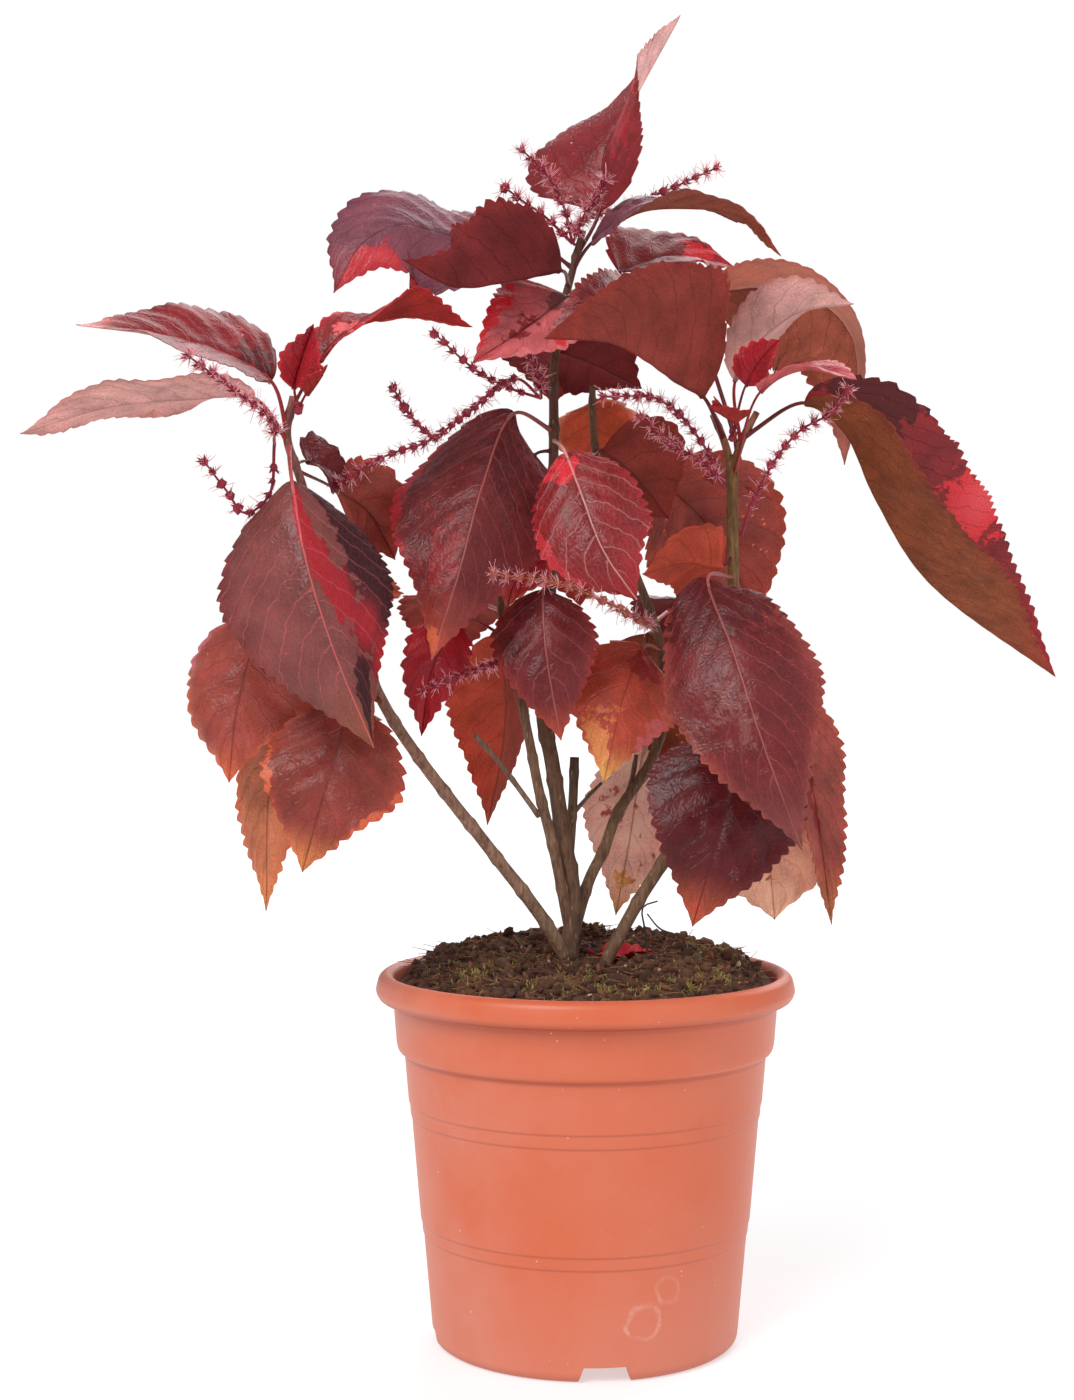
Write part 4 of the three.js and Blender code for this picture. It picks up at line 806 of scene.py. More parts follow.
def sheet_faces(rows, columns):
    """Faces of a closed sheet on two grids: the upper one, the lower one turned over, and a wall along each
    of the four edges."""
    upper = grid(rows, columns)
    last = rows * columns
    down = np.arange(rows - 1) * columns
    right = down + columns - 1
    over = np.arange(columns - 1)
    far = over + (rows - 1) * columns
    walls = [
        [down, down + columns, down + columns + last, down + last],
        [right, right + last, right + columns + last, right + columns],
        [over, over + last, over + 1 + last, over + 1],
        [far, far + 1, far + 1 + last, far + last],
    ]
    return [upper, upper[:, ::-1] + last, *(np.stack(wall, -1) for wall in walls)]


def outer(share):
    """How far a share has come of its last part, beyond 0.72: none to all."""
    return np.clip((share - 0.72) / 0.28, 0, 1)


def flushed(u, v, patches):
    """Colour of the patches on a face, with their amount in place of alpha. Each patch is its amount times
    exp(-(du/length)^2 - (dv/breadth)^2), and where several meet, their colours mix by the cubes of these."""
    amounts = np.array([
        amount * np.exp(-(((u - at) / length) ** 2) - ((v - across) / breadth) ** 2)
        for _, at, length, across, breadth, amount in patches
    ])
    codes = np.array([linear(TISSUE[patch[0]]) for patch in patches])
    mixed = np.einsum("nij,nk->ijk", amounts**3, codes) / (np.sum(amounts**3, axis=0) + 1e-9)[..., None]
    mixed[..., 3] = amounts.max(axis=0)
    return mixed


def leaf(name, slot, tissue, rib, width, widest, up, fold, wave, up_at_tip=None, curl=(0, 0), flush=(),
         node=None):
    """Makes one leaf. Its tissue names the colours of the upper face, the margin, the tip, the underside and
    the veins. Its rib starts on the nearest stem, unless it belongs to another node, and the second point is
    where the petiole becomes the blade. The upper face looks the way of up. A point of the blade is u along
    the rib and v across it, from -1 to 1. Each half leaves the rib at its fold and turns on by its curl, both
    in degrees, and the margin waves by sin(3 pi u). Between side veins, which slant as |v|^1.2, the blade
    swells, and over the rib it sinks. The underside is the same grid a thickness below. The petiole is a tube
    along the start of the same curve."""
    start = rib[0]
    if node is None:
        start = stem_centres[np.argmin(np.linalg.norm(stem_centres - start, axis=1))]
    route = [tuple(start), *rib[1:]]
    runs = along(route, [0.0])[2]
    base = runs[1] / runs[-1]
    length = runs[-1] - runs[1]
    teeth = max(6, round(length / TOOTH_SPACING))
    rows = (np.arange(teeth)[:, None] + [0, 0.36, TOOTH_CREST, 0.86]).ravel() / teeth
    rows = [0.0006, 0.003, 0.008, 0.016, *(TOOTHED_FROM + TOOTHED_SPAN * rows), 0.99, 0.999]
    u = np.array(rows)[:, None]
    v = ACROSS[None]
    reach = np.abs(v)

    # Width of each half, with its teeth and a slight lobing
    profile = outline(u, widest)
    lobed = np.stack([4 * u + 0 * v, 9 * (v > 0) + 0 * u, 0 * u + 0 * v], -1)
    lobed = 1 + 0.07 * noise(lobed, 1, round(abs(rib[-1][2]))) * reach**2
    teeth_out = saw(u, v, teeth, len(name) + round(100 * abs(rib[-1][0])))
    half_width = width / 2 * profile * lobed
    half_width = half_width + TOOTH_REACH * teeth_out * np.minimum(1, 3.5 * profile) * reach**7
    lateral = v * width / 2 * profile

    # Each half's arc away from the rib: how far out it goes and how far it rises
    leave = np.radians(np.where(v < 0, *fold))
    bend = np.radians(np.where(v < 0, curl[0] or 0.1, curl[1] or 0.1))
    out = (np.sin(leave + bend * reach) - np.sin(leave)) / bend
    rise = (np.cos(leave) - np.cos(leave + bend * reach)) / bend

    # Relief: the wavy margin, the swellings between the side veins, the sunk rib, and crumples of two sizes
    ripple = wave * reach**2 * np.sin(3 * np.pi * u + np.where(v < 0, 0, 1.9)) * profile
    side_veins = max(4, round(length / VEIN_SPACING))
    phase = side_veins * (u - VEIN_SLANT * reach**1.2) + np.where(v < 0, 0.1, 0.5)
    full = min(1, width / FULL_WIDTH)
    swell = 2.1 * (0.5 - 0.5 * np.cos(2 * np.pi * phase)) * reach**0.5 * (1 - reach**5) * profile**0.5
    trough = 0.7 * np.exp(-((lateral / 2.2) ** 2)) * (1 - u) ** 0.3
    flat = np.stack([u * length + 0 * v, lateral, 0 * lateral], -1)
    crumple = 2.6 * noise(flat, 19, len(name)) * reach + 0.8 * noise(flat, 8, len(name) + 1) * reach**0.5
    raised = rise * half_width + ripple + swell * full - trough + crumple * full * profile**0.4

    centre, forward, _ = along(route, base + (1 - base) * u[:, 0])
    lift, beside = crosswise(forward, blend(np.array(up), np.array(up_at_tip or up), u))
    blade = centre[:, None] + beside[:, None] * (np.sign(v) * out * half_width)[..., None]
    blade = blade + lift[:, None] * raised[..., None]
    normal = np.cross(np.gradient(blade, axis=1), np.gradient(blade, axis=0)) + 1e-4 * lift[:, None]
    normal /= np.linalg.norm(normal, axis=2, keepdims=True)
    rib_depth = 1.1 * np.exp(-((lateral / 0.9) ** 2)) * (1 - u) ** 0.6
    thickness = TISSUE_THICKNESS + 0.1 * profile
    above = blade + normal * (thickness / 2)[..., None]
    below = blade - normal * (thickness / 2 + rib_depth)[..., None]

    # Petiole: a third thinner at the blade, under which it sinks, and thicker where it leaves the stem
    share = np.linspace(0, base + (1 - base) * 0.06, STALK_RINGS)
    centre, forward, _ = along(route, share)
    lift, beside = crosswise(forward, np.array(up, float))
    angle = np.arange(STALK_SIDES) * 2 * np.pi / STALK_SIDES
    step = share / share[-1]
    thick = min(1.15, 0.6 + width / 140)
    girth = thick * (1 - 0.32 * step) + 0.5 * np.exp(-((step * runs[1] / 2.5) ** 2))
    ring = np.cos(angle)[:, None] * beside[:, None] + np.sin(angle)[:, None] * lift[:, None]
    sunk = centre - lift * (0.55 * thick * step**6)[:, None]
    stalk = sunk[:, None] + ring * girth[:, None, None]
    first = 2 * phase.size
    corners = STALK_RINGS * STALK_SIDES
    stalk_faces = grid(STALK_RINGS, STALK_SIDES, wrap=True)[:, ::-1] + first
    foot = np.arange(STALK_SIDES)
    caps = np.array([foot[::-1], foot + corners - STALK_SIDES]) + first

    # The margin and the tip take their own colour over the face, and about half as much over the underside.
    body, margin, tip, under, vein = (np.array(linear(TISSUE[each])) for each in tissue.split())
    grown = outer(u + 0 * v)[..., None] ** 1.5
    hem = outer(reach + 0 * u)[..., None] ** 1.6
    face = blend(blend(body, margin, 0.75 * hem), tip, grown)
    back = blend(blend(under, tip, 0.5 * grown), margin, 0.3 * hem)
    patch = flushed(u, v, flush) if flush else 0 * face
    ink = np.concatenate([vein[:3] + 0 * face[..., :3], 0.3 - 0.24 * grown], -1)
    ink_below = np.concatenate([0.45 * back[..., :3], 0.6 - 0.48 * grown], -1)
    lines = np.stack([phase, lateral * (1 + 1.2 * u), 0 * phase + length / side_veins], -1)
    uv = flat[..., :2] + 37 * len(name)
    stalk_uv = np.stack(np.meshgrid(step * runs[1], angle, indexing="ij"), -1)

    def joined(upper, lower, petiole):
        """Values of the upper face, of the underside and of the petiole, one row to a point."""
        if petiole.ndim == 1:
            petiole = np.tile(petiole, (corners, 1))
        return np.vstack([each.reshape(-1, each.shape[-1]) for each in (upper, lower, petiole)])

    faces = [*sheet_faces(*phase.shape), stalk_faces, caps]
    made = piece(
        name + "_blade",
        joined(above, below, stalk),
        faces,
        [cuticle, underside],
        slot,
        [node or name],
        which=np.repeat([0, 1, 1, 1, 1, 1, 0, 0], [len(each) for each in faces]),
        colours={
            "tissue": joined(face, back, blend(vein, body, 0.4)),
            "flush": joined(patch, 0 * patch, np.zeros(4)),
            "vein": joined(ink, ink_below, vein * [1, 1, 1, 0]),
            # Values far from any vein keep the pattern of veins off the petiole.
            "lines": joined(lines, lines, np.array([0.5, 9.0, 9.0])),
        },
        uv=joined(uv, uv, stalk_uv),
    )
    made.data.set_sharp_from_angle(angle=math.radians(55))


# Each patch flushed over a leaf: its colour, its middle and length along the rib, its middle and breadth
# across it, and its amount

# Leaves of the top shoot, on the trunk's tip
leaf("top_leaf", "leaf_crimson", "garnet garnet blush blush wine",
     rib=[(-4, 9, 516), (7, 14, 539), (10, 22, 570), (27, 34, 604), (48, 50, 643)],
     width=80, widest=0.22, up=(-0.3, -0.95, 0.2), up_at_tip=(-0.9, 0, 0.4), fold=(0, 36), wave=3,
     flush=[("crimson", 0.35, 0.3, 0.4, 0.6, 0.6), ("scarlet", 0.5, 0.12, 0.7, 0.6, 0.5)])
leaf("upper_left_leaf", "leaf_mauve", "mauve plum garnet brick wine",
     rib=[(-4, 9, 510), (-28, 6, 526), (-62, 5, 526), (-88, -2, 530), (-105, -10, 520),
          (-118, -18, 495)],
     width=66, widest=0.45, up=(0, -0.45, 0.9), up_at_tip=(-0.3, -0.6, 0.8), fold=(-42, 5),
     curl=(0, 15), wave=4,
     flush=[("cherry", 0.84, 0.24, -0.7, 0.9, 0.9), ("rose", 0.75, 0.1, -0.6, 0.3, 0.6)])
leaf("upper_left_curled_leaf", "leaf_brown", "garnet brick brick umber wine",
     rib=[(-5, 7, 503), (-12, -16, 506), (-34, -36, 499), (-61, -48, 494), (-84, -52, 505)],
     width=74, widest=0.4, up=(0, 0.2, 1), fold=(70, 55), curl=(10, 20), wave=3,
     flush=[("scarlet", 0.2, 0.2, 0.9, 0.3, 0.5)])
leaf("upper_right_leaf", "leaf_mauve", "plum mauve copper clay wine",
     rib=[(-4, 9, 511), (3, 2, 522), (23, -8, 535), (48, -20, 535), (71, -30, 529), (89, -36, 509)],
     width=60, widest=0.36, up=(-0.3, -0.5, 0.8), up_at_tip=(0.2, 0.3, 0.9), fold=(0, 5), wave=2,
     flush=[("rust", 0.9, 0.15, 0.0, 2.0, 0.6)])
leaf("red_splotched_leaf", "leaf_crimson", "pink pink cherry brick wine",
     rib=[(-6, 7, 494), (-8, -6, 496), (-26, -22, 480), (-53, -36, 460)],
     width=50, widest=0.36, up=(-0.3, -0.9, 0.3), fold=(10, 10), wave=2,
     flush=[("scarlet", 0.6, 0.5, 0.8, 0.5, 0.6), ("scarlet", 0.3, 0.3, -0.8, 0.5, 0.6),
            ("garnet", 0.5, 0.4, 0.0, 0.6, 0.5), ("russet", 0.1, 0.2, 0.0, 1.0, 0.6)])
leaf("right_back_red_leaf", "leaf_crimson", "garnet crimson scarlet brick wine",
     rib=[(-8, 9, 498), (18, 46, 516), (45, 64, 527), (78, 76, 523)],
     width=54, widest=0.36, up=(0, -0.6, 0.8), fold=(10, 10), wave=3,
     flush=[("scarlet", 0.7, 0.25, -0.2, 1.0, 0.6)])
leaf("back_top_leaf", "leaf_maroon", "maroon garnet brick umber rose",
     rib=[(-10, 9, 490), (-14, 40, 494), (-16, 80, 488), (-14, 124, 458)],
     width=70, widest=0.36, up=(0, 0.1, 1), up_at_tip=(0, 0.4, 0.9), fold=(10, 10), curl=(-10, -10),
     wave=3,
     flush=[("crimson", 0.5, 0.3, 0.4, 0.6, 0.45)])
leaf("centre_back_grey_leaf", "leaf_mauve", "mauve garnet brick umber wine",
     rib=[(-14, 8, 474), (-11, 18, 473), (7, 34, 468), (29, 46, 458)],
     width=46, widest=0.4, up=(0, 0.7, 0.6), fold=(5, 5), wave=2)

# Leaves of the left limb
leaf("far_left_upper_leaf", "leaf_maroon", "garnet maroon blush tan cherry",
     rib=[(-134, -80, 425), (-139, -86, 446), (-159, -91, 458), (-188, -100, 465),
          (-219, -112, 467)],
     width=66, widest=0.3, up=(0.4, -0.35, 0.87), up_at_tip=(0, -0.2, 1), fold=(0, 20), wave=2,
     flush=[("wine", 0.0, 0.4, 0.2, 1.0, 0.6), ("garnet", 0.5, 0.3, 0.2, 1.0, 0.5),
            ("rose", 0.84, 0.12, 0.5, 1.0, 0.42), ("blush", 1.0, 0.16, 0.0, 2.0, 0.7)])
leaf("far_left_lower_leaf", "leaf_salmon", "crimson brick blush tan brick",
     rib=[(-134, -80, 420), (-146, -94, 438), (-173, -106, 437), (-205, -118, 432),
          (-239, -130, 419)],
     width=60, widest=0.5, up=(0.1, 0.1, 1), up_at_tip=(0, 0.45, 0.9), fold=(0, 5), wave=4)
leaf("left_slim_leaf", "leaf_crimson", "garnet scarlet scarlet brick wine",
     rib=[(-131, -80, 433), (-119, -77, 456), (-106, -74, 471), (-82, -66, 478), (-52, -56, 474)],
     width=38, widest=0.5, up=(-0.2, -0.5, 0.8), up_at_tip=(0, 0.5, 0.8), fold=(15, 15), wave=3,
     flush=[("rose", 0.25, 0.2, 0.2, 1.0, 0.6), ("scarlet", 0.6, 0.2, -0.4, 0.7, 0.5)])
# Its two ink patches are painted shade: they darken the half that turns away from the light.
leaf("left_front_leaf", "leaf_mauve", "russet umber olive brick rose",
     rib=[(-133, -80, 418), (-129, -98, 402), (-122, -115, 369), (-109, -124, 329),
          (-92, -120, 287)],
     width=94, widest=0.4, up=(-0.25, -0.95, 0.1), up_at_tip=(-0.2, -0.95, 0.1), fold=(-54, -5),
     curl=(-10, -15), wave=2,
     flush=[("ink", 0.3, 0.4, -0.9, 0.5, 0.95), ("ink", 0.85, 0.3, -0.5, 0.4, 0.7),
            ("crimson", 0.14, 0.16, -0.06, 0.12, 1.0), ("crimson", 0.3, 0.15, -0.14, 0.14, 1.0),
            ("crimson", 0.45, 0.14, -0.3, 0.17, 1.0), ("crimson", 0.58, 0.12, -0.6, 0.24, 1.0),
            ("crimson", 0.7, 0.1, -0.95, 0.22, 1.0)])
leaf("left_small_dark_leaf", "leaf_maroon", "maroon wine garnet umber wine",
     rib=[(-131, -79, 410), (-125, -65, 413), (-118, -56, 411), (-107, -48, 405)],
     width=34, widest=0.36, up=(0, -0.8, 0.6), fold=(5, 5), wave=1)
leaf("left_low_orange_leaf", "leaf_copper", "sienna rust rust tan umber",
     rib=[(-113, -68, 351), (-143, -70, 340), (-155, -76, 307), (-159, -80, 270)],
     width=68, widest=0.36, up=(-0.3, -0.9, 0.3), up_at_tip=(-0.3, -0.9, 0), fold=(-30, 10),
     curl=(0, -40), wave=3,
     flush=[("pink", 0.2, 0.3, 0.95, 0.2, 0.6)])
leaf("left_low_tip_leaf", "leaf_copper", "brass rust amber rust umber",
     rib=[(-97, -60, 313), (-126, -58, 306), (-142, -60, 273), (-145, -62, 211)],
     width=54, widest=0.3, up=(-0.6, -0.7, 0.2), up_at_tip=(-0.6, -0.7, 0), fold=(-10, 0), wave=2)
leaf("left_low_maroon_leaf", "leaf_maroon", "chestnut copper amber copper umber",
     rib=[(-92, -58, 306), (-104, -78, 306), (-113, -91, 276), (-125, -97, 232)],
     width=62, widest=0.45, up=(-0.1, -1, 0.2), up_at_tip=(-0.1, -1, 0.1), fold=(0, 0),
     curl=(-10, -10), wave=3,
     flush=[("rust", 0.5, 0.5, 0.95, 0.2, 0.5), ("rust", 0.6, 0.4, -0.95, 0.2, 0.5),
            ("garnet", 0.4, 0.3, 0.1, 0.5, 0.45)])
leaf("left_back_red_leaf", "leaf_copper", "sienna copper copper pink wine",
     rib=[(-131, -79, 407), (-115, -42, 402), (-101, -18, 392), (-90, -8, 371)],
     width=46, widest=0.4, up=(-0.1, -0.9, 0.3), fold=(5, 5), wave=2)
leaf("back_left_leaf", "leaf_copper", "brick copper rust copper garnet",
     rib=[(-113, -70, 355), (-118, -40, 362), (-122, 0, 352), (-124, 42, 322)],
     width=66, widest=0.36, up=(0, 0.1, 1), up_at_tip=(0, 0.6, 0.8), fold=(10, 10), curl=(-10, -10),
     wave=3)

# Leaves in the middle, on the trunk and on the limbs to its left and right
leaf("centre_left_leaf", "leaf_maroon", "maroon garnet copper brick fawn",
     rib=[(-15, 4, 432), (-33, -12, 440), (-48, -46, 404), (-58, -64, 364), (-70, -68, 324)],
     width=84, widest=0.45, up=(-0.35, -0.9, 0.15), up_at_tip=(-0.3, -0.9, 0.1), fold=(-58, 0),
     curl=(0, -10), wave=2,
     flush=[("wine", 0.2, 0.35, -0.3, 0.8, 0.6), ("garnet", 0.65, 0.3, 0.3, 0.5, 0.55),
            ("crimson", 0.4, 0.4, 1.0, 0.2, 0.7), ("rust", 1.0, 0.14, 0.5, 1.2, 0.75)])
leaf("centre_grey_leaf", "leaf_mauve", "plum garnet crimson brick wine",
     rib=[(-15, 4, 424), (-24, -4, 421), (-34, -8, 404), (-41, -8, 373)],
     width=50, widest=0.36, up=(0.1, -0.9, 0.3), up_at_tip=(0.1, -0.95, 0.2), fold=(0, 0), wave=2,
     flush=[("crimson", 0.8, 0.35, 0.0, 2.0, 0.6)])
leaf("centre_slim_red_leaf", "leaf_crimson", "crimson crimson crimson brick wine",
     rib=[(-37, -13, 335), (-58, -30, 343), (-71, -40, 320), (-76, -42, 289)],
     width=30, widest=0.36, up=(0, -1, 0.1), fold=(0, 10), wave=1)
leaf("centre_serrated_leaf", "leaf_copper", "copper copper rust copper maroon",
     rib=[(-39, -14, 345), (-42, 0, 335), (-38, 8, 308), (-40, 12, 278), (-47, 12, 244)],
     width=62, widest=0.4, up=(0.3, 0.9, 0.1), fold=(5, 86), wave=2)
leaf("centre_red_leaf", "leaf_crimson", "garnet crimson crimson brick blush",
     rib=[(-14, 3, 429), (-10, -28, 420), (-3, -46, 400), (7, -58, 373), (22, -60, 351)],
     width=58, widest=0.55, up=(-0.1, -0.95, 0.3), up_at_tip=(-0.1, -0.95, 0.2), fold=(-10, -5),
     curl=(-10, -20), wave=3,
     flush=[("scarlet", 0.08, 0.25, 0.3, 1.0, 0.6), ("cherry", 0.6, 0.4, 0.95, 0.3, 0.6),
            ("russet", 0.4, 0.16, 0.35, 0.3, 0.5)])
leaf("centre_maroon_leaf", "leaf_maroon", "maroon brick copper brick fawn",
     rib=[(-16, 0, 367), (-20, -22, 357), (-19, -38, 329), (-12, -44, 287)],
     width=50, widest=0.4, up=(0, -1, 0.1), fold=(-10, -15), wave=2,
     flush=[("wine", 0.3, 0.3, 0.6, 0.6, 0.45)])
leaf("centre_curled_leaf", "leaf_copper", "crimson rust copper brick wine",
     rib=[(-17, 1, 389), (-21, -18, 382), (-31, -29, 368), (-37, -35, 348)],
     width=34, widest=0.4, up=(0.1, -0.9, 0.3), fold=(-20, 10), wave=2)
leaf("centre_orange_leaf", "leaf_copper", "copper rust gold copper brick",
     rib=[(34, 12, 328), (28, -2, 330), (17, -24, 305), (8, -32, 267)],
     width=54, widest=0.4, up=(-0.1, -1, 0.1), up_at_tip=(-0.1, -1, 0), fold=(-25, -5), wave=2,
     flush=[("brick", 0.15, 0.25, -0.3, 0.8, 0.6), ("gold", 1.0, 0.2, 0.5, 0.9, 0.62),
            ("amber", 0.78, 0.3, 0.5, 0.7, 0.62), ("pink", 0.6, 0.35, -0.9, 0.4, 0.6),
            ("rust", 0.55, 0.2, 0.3, 0.6, 0.5)])
leaf("centre_taupe_leaf", "leaf_brown", "garnet brick brick chestnut wine",
     rib=[(4, 24, 423), (8, 14, 424), (23, 6, 413), (40, 2, 391)],
     width=60, widest=0.4, up=(0.15, 0.95, 0.1), fold=(5, 5), wave=2)
leaf("centre_back_olive_leaf", "leaf_brown", "olive chestnut copper chestnut umber",
     rib=[(37, 14, 333), (32, 34, 336), (33, 50, 294), (29, 54, 242)],
     width=76, widest=0.36, up=(0, -1, 0.1), fold=(5, 5), wave=2)
leaf("centre_back_orange_leaf", "leaf_copper", "rust peach rust rust brick",
     rib=[(4, 24, 445), (5, 44, 452), (7, 56, 436), (9, 60, 412)],
     width=46, widest=0.4, up=(0, -1, 0.1), fold=(5, 5), wave=2)
# Its pale shell and peach are painted light, the glow of a leaf lit from behind.
leaf("centre_low_salmon_leaf", "leaf_salmon", "shell shell gold peach clay",
     rib=[(36, 13, 286), (30, 30, 280), (23, 38, 236), (16, 40, 197)],
     width=50, widest=0.36, up=(0, -1, 0.1), fold=(5, 5), wave=2,
     flush=[("pink", 0.35, 0.3, 0.4, 0.7, 0.48), ("brass", 0.65, 0.3, -0.5, 0.6, 0.45),
            ("gold", 0.8, 0.2, 0.2, 1.0, 0.5)])
leaf("back_lower_leaf", "leaf_maroon", "maroon garnet brick umber rose",
     rib=[(36, 14, 343), (52, 62, 353), (62, 100, 346), (70, 142, 314)],
     width=68, widest=0.36, up=(0, 0.1, 1), up_at_tip=(0, 0.6, 0.8), fold=(10, 10), curl=(-10, -10),
     wave=3)
leaf("back_centre_leaf", "leaf_mauve", "plum garnet brick brick rose",
     rib=[(-16, 0, 371), (-12, 44, 380), (-6, 84, 378), (0, 124, 352)],
     width=66, widest=0.36, up=(0, 0.1, 1), up_at_tip=(0, 0.6, 0.8), fold=(10, 10), curl=(-10, -10),
     wave=3,
     flush=[("crimson", 0.6, 0.3, -0.4, 0.6, 0.45)])
leaf("back_mid_left_leaf", "leaf_maroon", "garnet brick copper chestnut rose",
     rib=[(-40, -14, 347), (-56, 28, 352), (-66, 62, 346), (-72, 100, 318)],
     width=56, widest=0.36, up=(0, 0.1, 1), up_at_tip=(0, 0.6, 0.8), fold=(10, 10), curl=(-10, -10),
     wave=3)

# Leaves of the right stem, and of the limb behind it
leaf("round_brown_leaf", "leaf_brown", "garnet brick brick chestnut wine",
     rib=[(65, 5, 429), (55, -16, 447), (41, -34, 453), (26, -56, 460), (9, -84, 464),
          (-20, -120, 460)],
     width=102, widest=0.3, up=(0.5, 0.2, 0.9), up_at_tip=(0.1, 0.2, 1), fold=(65, 52), curl=(15, 5),
     wave=3)
leaf("right_arched_leaf", "leaf_brown", "garnet brick tan clay wine",
     rib=[(72, 6, 423), (60, 30, 497), (87, 38, 506), (114, 46, 502), (133, 52, 484), (136, 56, 454),
          (131, 58, 421)],
     width=80, widest=0.45, up=(0, 1, 0.3), up_at_tip=(0, 1, 0.1), fold=(0, 72), wave=3)
leaf("right_pale_leaf", "leaf_salmon", "crimson brick blush tan garnet",
     rib=[(71, 4, 428), (71, -2, 456), (84, -8, 476), (100, -13, 487), (125, -18, 490)],
     width=56, widest=0.4, up=(0.3, 0.85, 0.4), fold=(76, 50), wave=3)
leaf("right_pink_leaf", "leaf_salmon", "crimson pink rose pink garnet",
     rib=[(70, 1, 410), (81, -21, 449), (99, -36, 458), (122, -50, 451)],
     width=32, widest=0.5, up=(0, 0.5, 0.8), up_at_tip=(0.2, 0.2, 0.9), fold=(42, -30), wave=2)
leaf("right_drooping_leaf", "leaf_maroon", "garnet garnet crimson olive wine",
     rib=[(75, 4, 430), (104, 0, 446), (124, 4, 434), (141, 13, 402), (168, 30, 364),
          (238, 60, 315)],
     width=101, widest=0.52, up=(0.7, 0, 0.7), up_at_tip=(0.75, 0, 0.65), fold=(82, 25), wave=4,
     flush=[("wine", 0.1, 0.14, -0.8, 0.8, 0.7), ("rose", 0.5, 0.1, -0.9, 0.4, 0.6),
            ("scarlet", 0.5, 0.18, -0.8, 0.8, 0.7)])
leaf("right_centre_leaf", "leaf_copper", "sienna copper copper copper maroon",
     rib=[(8, 24, 416), (35, 30, 411), (63, 36, 387), (87, 40, 342)],
     width=76, widest=0.4, up=(-0.1, -0.9, 0.3), fold=(5, 5), wave=3,
     flush=[("scarlet", 0.45, 0.2, 0.3, 0.4, 0.45), ("garnet", 0.3, 0.3, -0.6, 0.6, 0.45)])
leaf("right_mid_brown_leaf", "leaf_copper", "garnet copper copper copper maroon",
     rib=[(70, 0, 373), (64, -8, 368), (46, -16, 370), (26, -22, 364)],
     width=46, widest=0.36, up=(0, 0.7, 0.7), fold=(5, 5), wave=2)
leaf("right_front_leaf", "leaf_mauve", "maroon sienna russet brick fawn",
     rib=[(70, -1, 363), (56, -30, 362), (65, -62, 328), (77, -78, 287), (94, -82, 240)],
     width=74, widest=0.42, up=(0, -1, 0.1), up_at_tip=(-0.1, -1, 0.1), fold=(-12, -8),
     curl=(-10, -10), wave=3,
     flush=[("wine", 0.1, 0.28, 0.0, 1.5, 0.75), ("russet", 0.5, 0.3, 0.3, 0.6, 0.5)])
leaf("right_low_maroon_leaf", "leaf_maroon", "wine maroon rust umber maroon",
     rib=[(62, -8, 310), (76, -22, 292), (62, -40, 248), (48, -46, 202)],
     width=76, widest=0.4, up=(-0.05, -1, 0.1), fold=(0, 0), curl=(-10, -10), wave=3,
     flush=[("copper", 0.95, 0.14, 0.0, 2.0, 0.5)])
# Its pale peach and shell are painted light, the glow of a leaf lit from behind.
leaf("right_low_orange_leaf", "leaf_copper", "peach shell peach rust rust",
     rib=[(65, -2, 328), (77, 10, 276), (88, 16, 236), (92, 14, 198)],
     width=76, widest=0.55, up=(0, -1, 0.1), fold=(5, 5), wave=3,
     flush=[("copper", 1.0, 0.06, 0.0, 2.0, 0.6), ("brass", 0.7, 0.2, 0.3, 0.8, 0.44)])
leaf("right_low_edge_leaf", "leaf_copper", "sienna copper amber copper umber",
     rib=[(70, 0, 350), (100, 4, 308), (110, 4, 257), (117, -6, 198)],
     width=39, widest=0.4, up=(0.6, -0.7, 0.1), up_at_tip=(0.5, -0.8, 0), fold=(10, 20), wave=3,
     flush=[("garnet", 0.45, 0.4, 0.2, 0.5, 0.55), ("copper", 0.1, 0.2, 0.0, 2.0, 0.5)])
leaf("back_right_leaf", "leaf_maroon", "maroon brick brick umber rose",
     rib=[(67, -4, 335), (72, 46, 336), (70, 88, 329), (68, 130, 298)],
     width=56, widest=0.36, up=(0, 0.1, 1), up_at_tip=(0, 0.6, 0.8), fold=(10, 10), curl=(-10, -10),
     wave=3)

# The fallen leaf lies curled in a dent of the soil, still red.
leaf("fallen_leaf", "leaf_crimson", "crimson scarlet crimson brick wine",
     rib=[(1, 0, 185), (6, 0, 183), (17, 1, 180.5), (33, 3, 185)],
     width=22, widest=0.4, up=(0, -0.2, 1), fold=(28, 30), curl=(10, 10), wave=1,
     node="fallen_leaf")

# Young leaves: two shoot tips unfold small crimson leaves from one scaly bud each.

RIGHT_BUD = (69.4, -5.6, 429.7)
LEFT_BUD = (-127.4, -84.5, 434.2)
for name, node, bud, rib, width, up, fold in [
    ("right_young_leaf_1", "right_young_leaves", RIGHT_BUD,
     [(75, -11, 453), (82, -16, 465), (90, -21, 473)], 24, (-0.5, -0.8, 0.3), (10, 10)),
    ("right_young_leaf_2", "right_young_leaves", RIGHT_BUD,
     [(70, -19, 435), (63, -29, 438), (56, -36, 440)], 21, (0, -0.4, 0.9), (30, 30)),
    ("left_young_leaf_1", "left_young_leaves", LEFT_BUD,
     [(-129, -86, 443), (-125, -89, 457), (-120, -92, 470)], 20, (0.3, -0.9, 0.2), (20, 30)),
    ("left_young_leaf_2", "left_young_leaves", LEFT_BUD,
     [(-123, -93, 440), (-118, -99, 445), (-113, -104, 451)], 12, (0.3, -0.5, 0.8), (20, 20)),
]:
    leaf(name, "leaf_crimson", "crimson scarlet crimson brick wine", rib=[bud, *rib],
         width=width, widest=0.4, up=up, fold=fold, wave=1, node=node)

# Catkins: thin spikes of female flowers. Along each axis stand dark crimson bracts in whorls, and from
# them spread the pink feathery styles, thickest where the flowers are fresh.

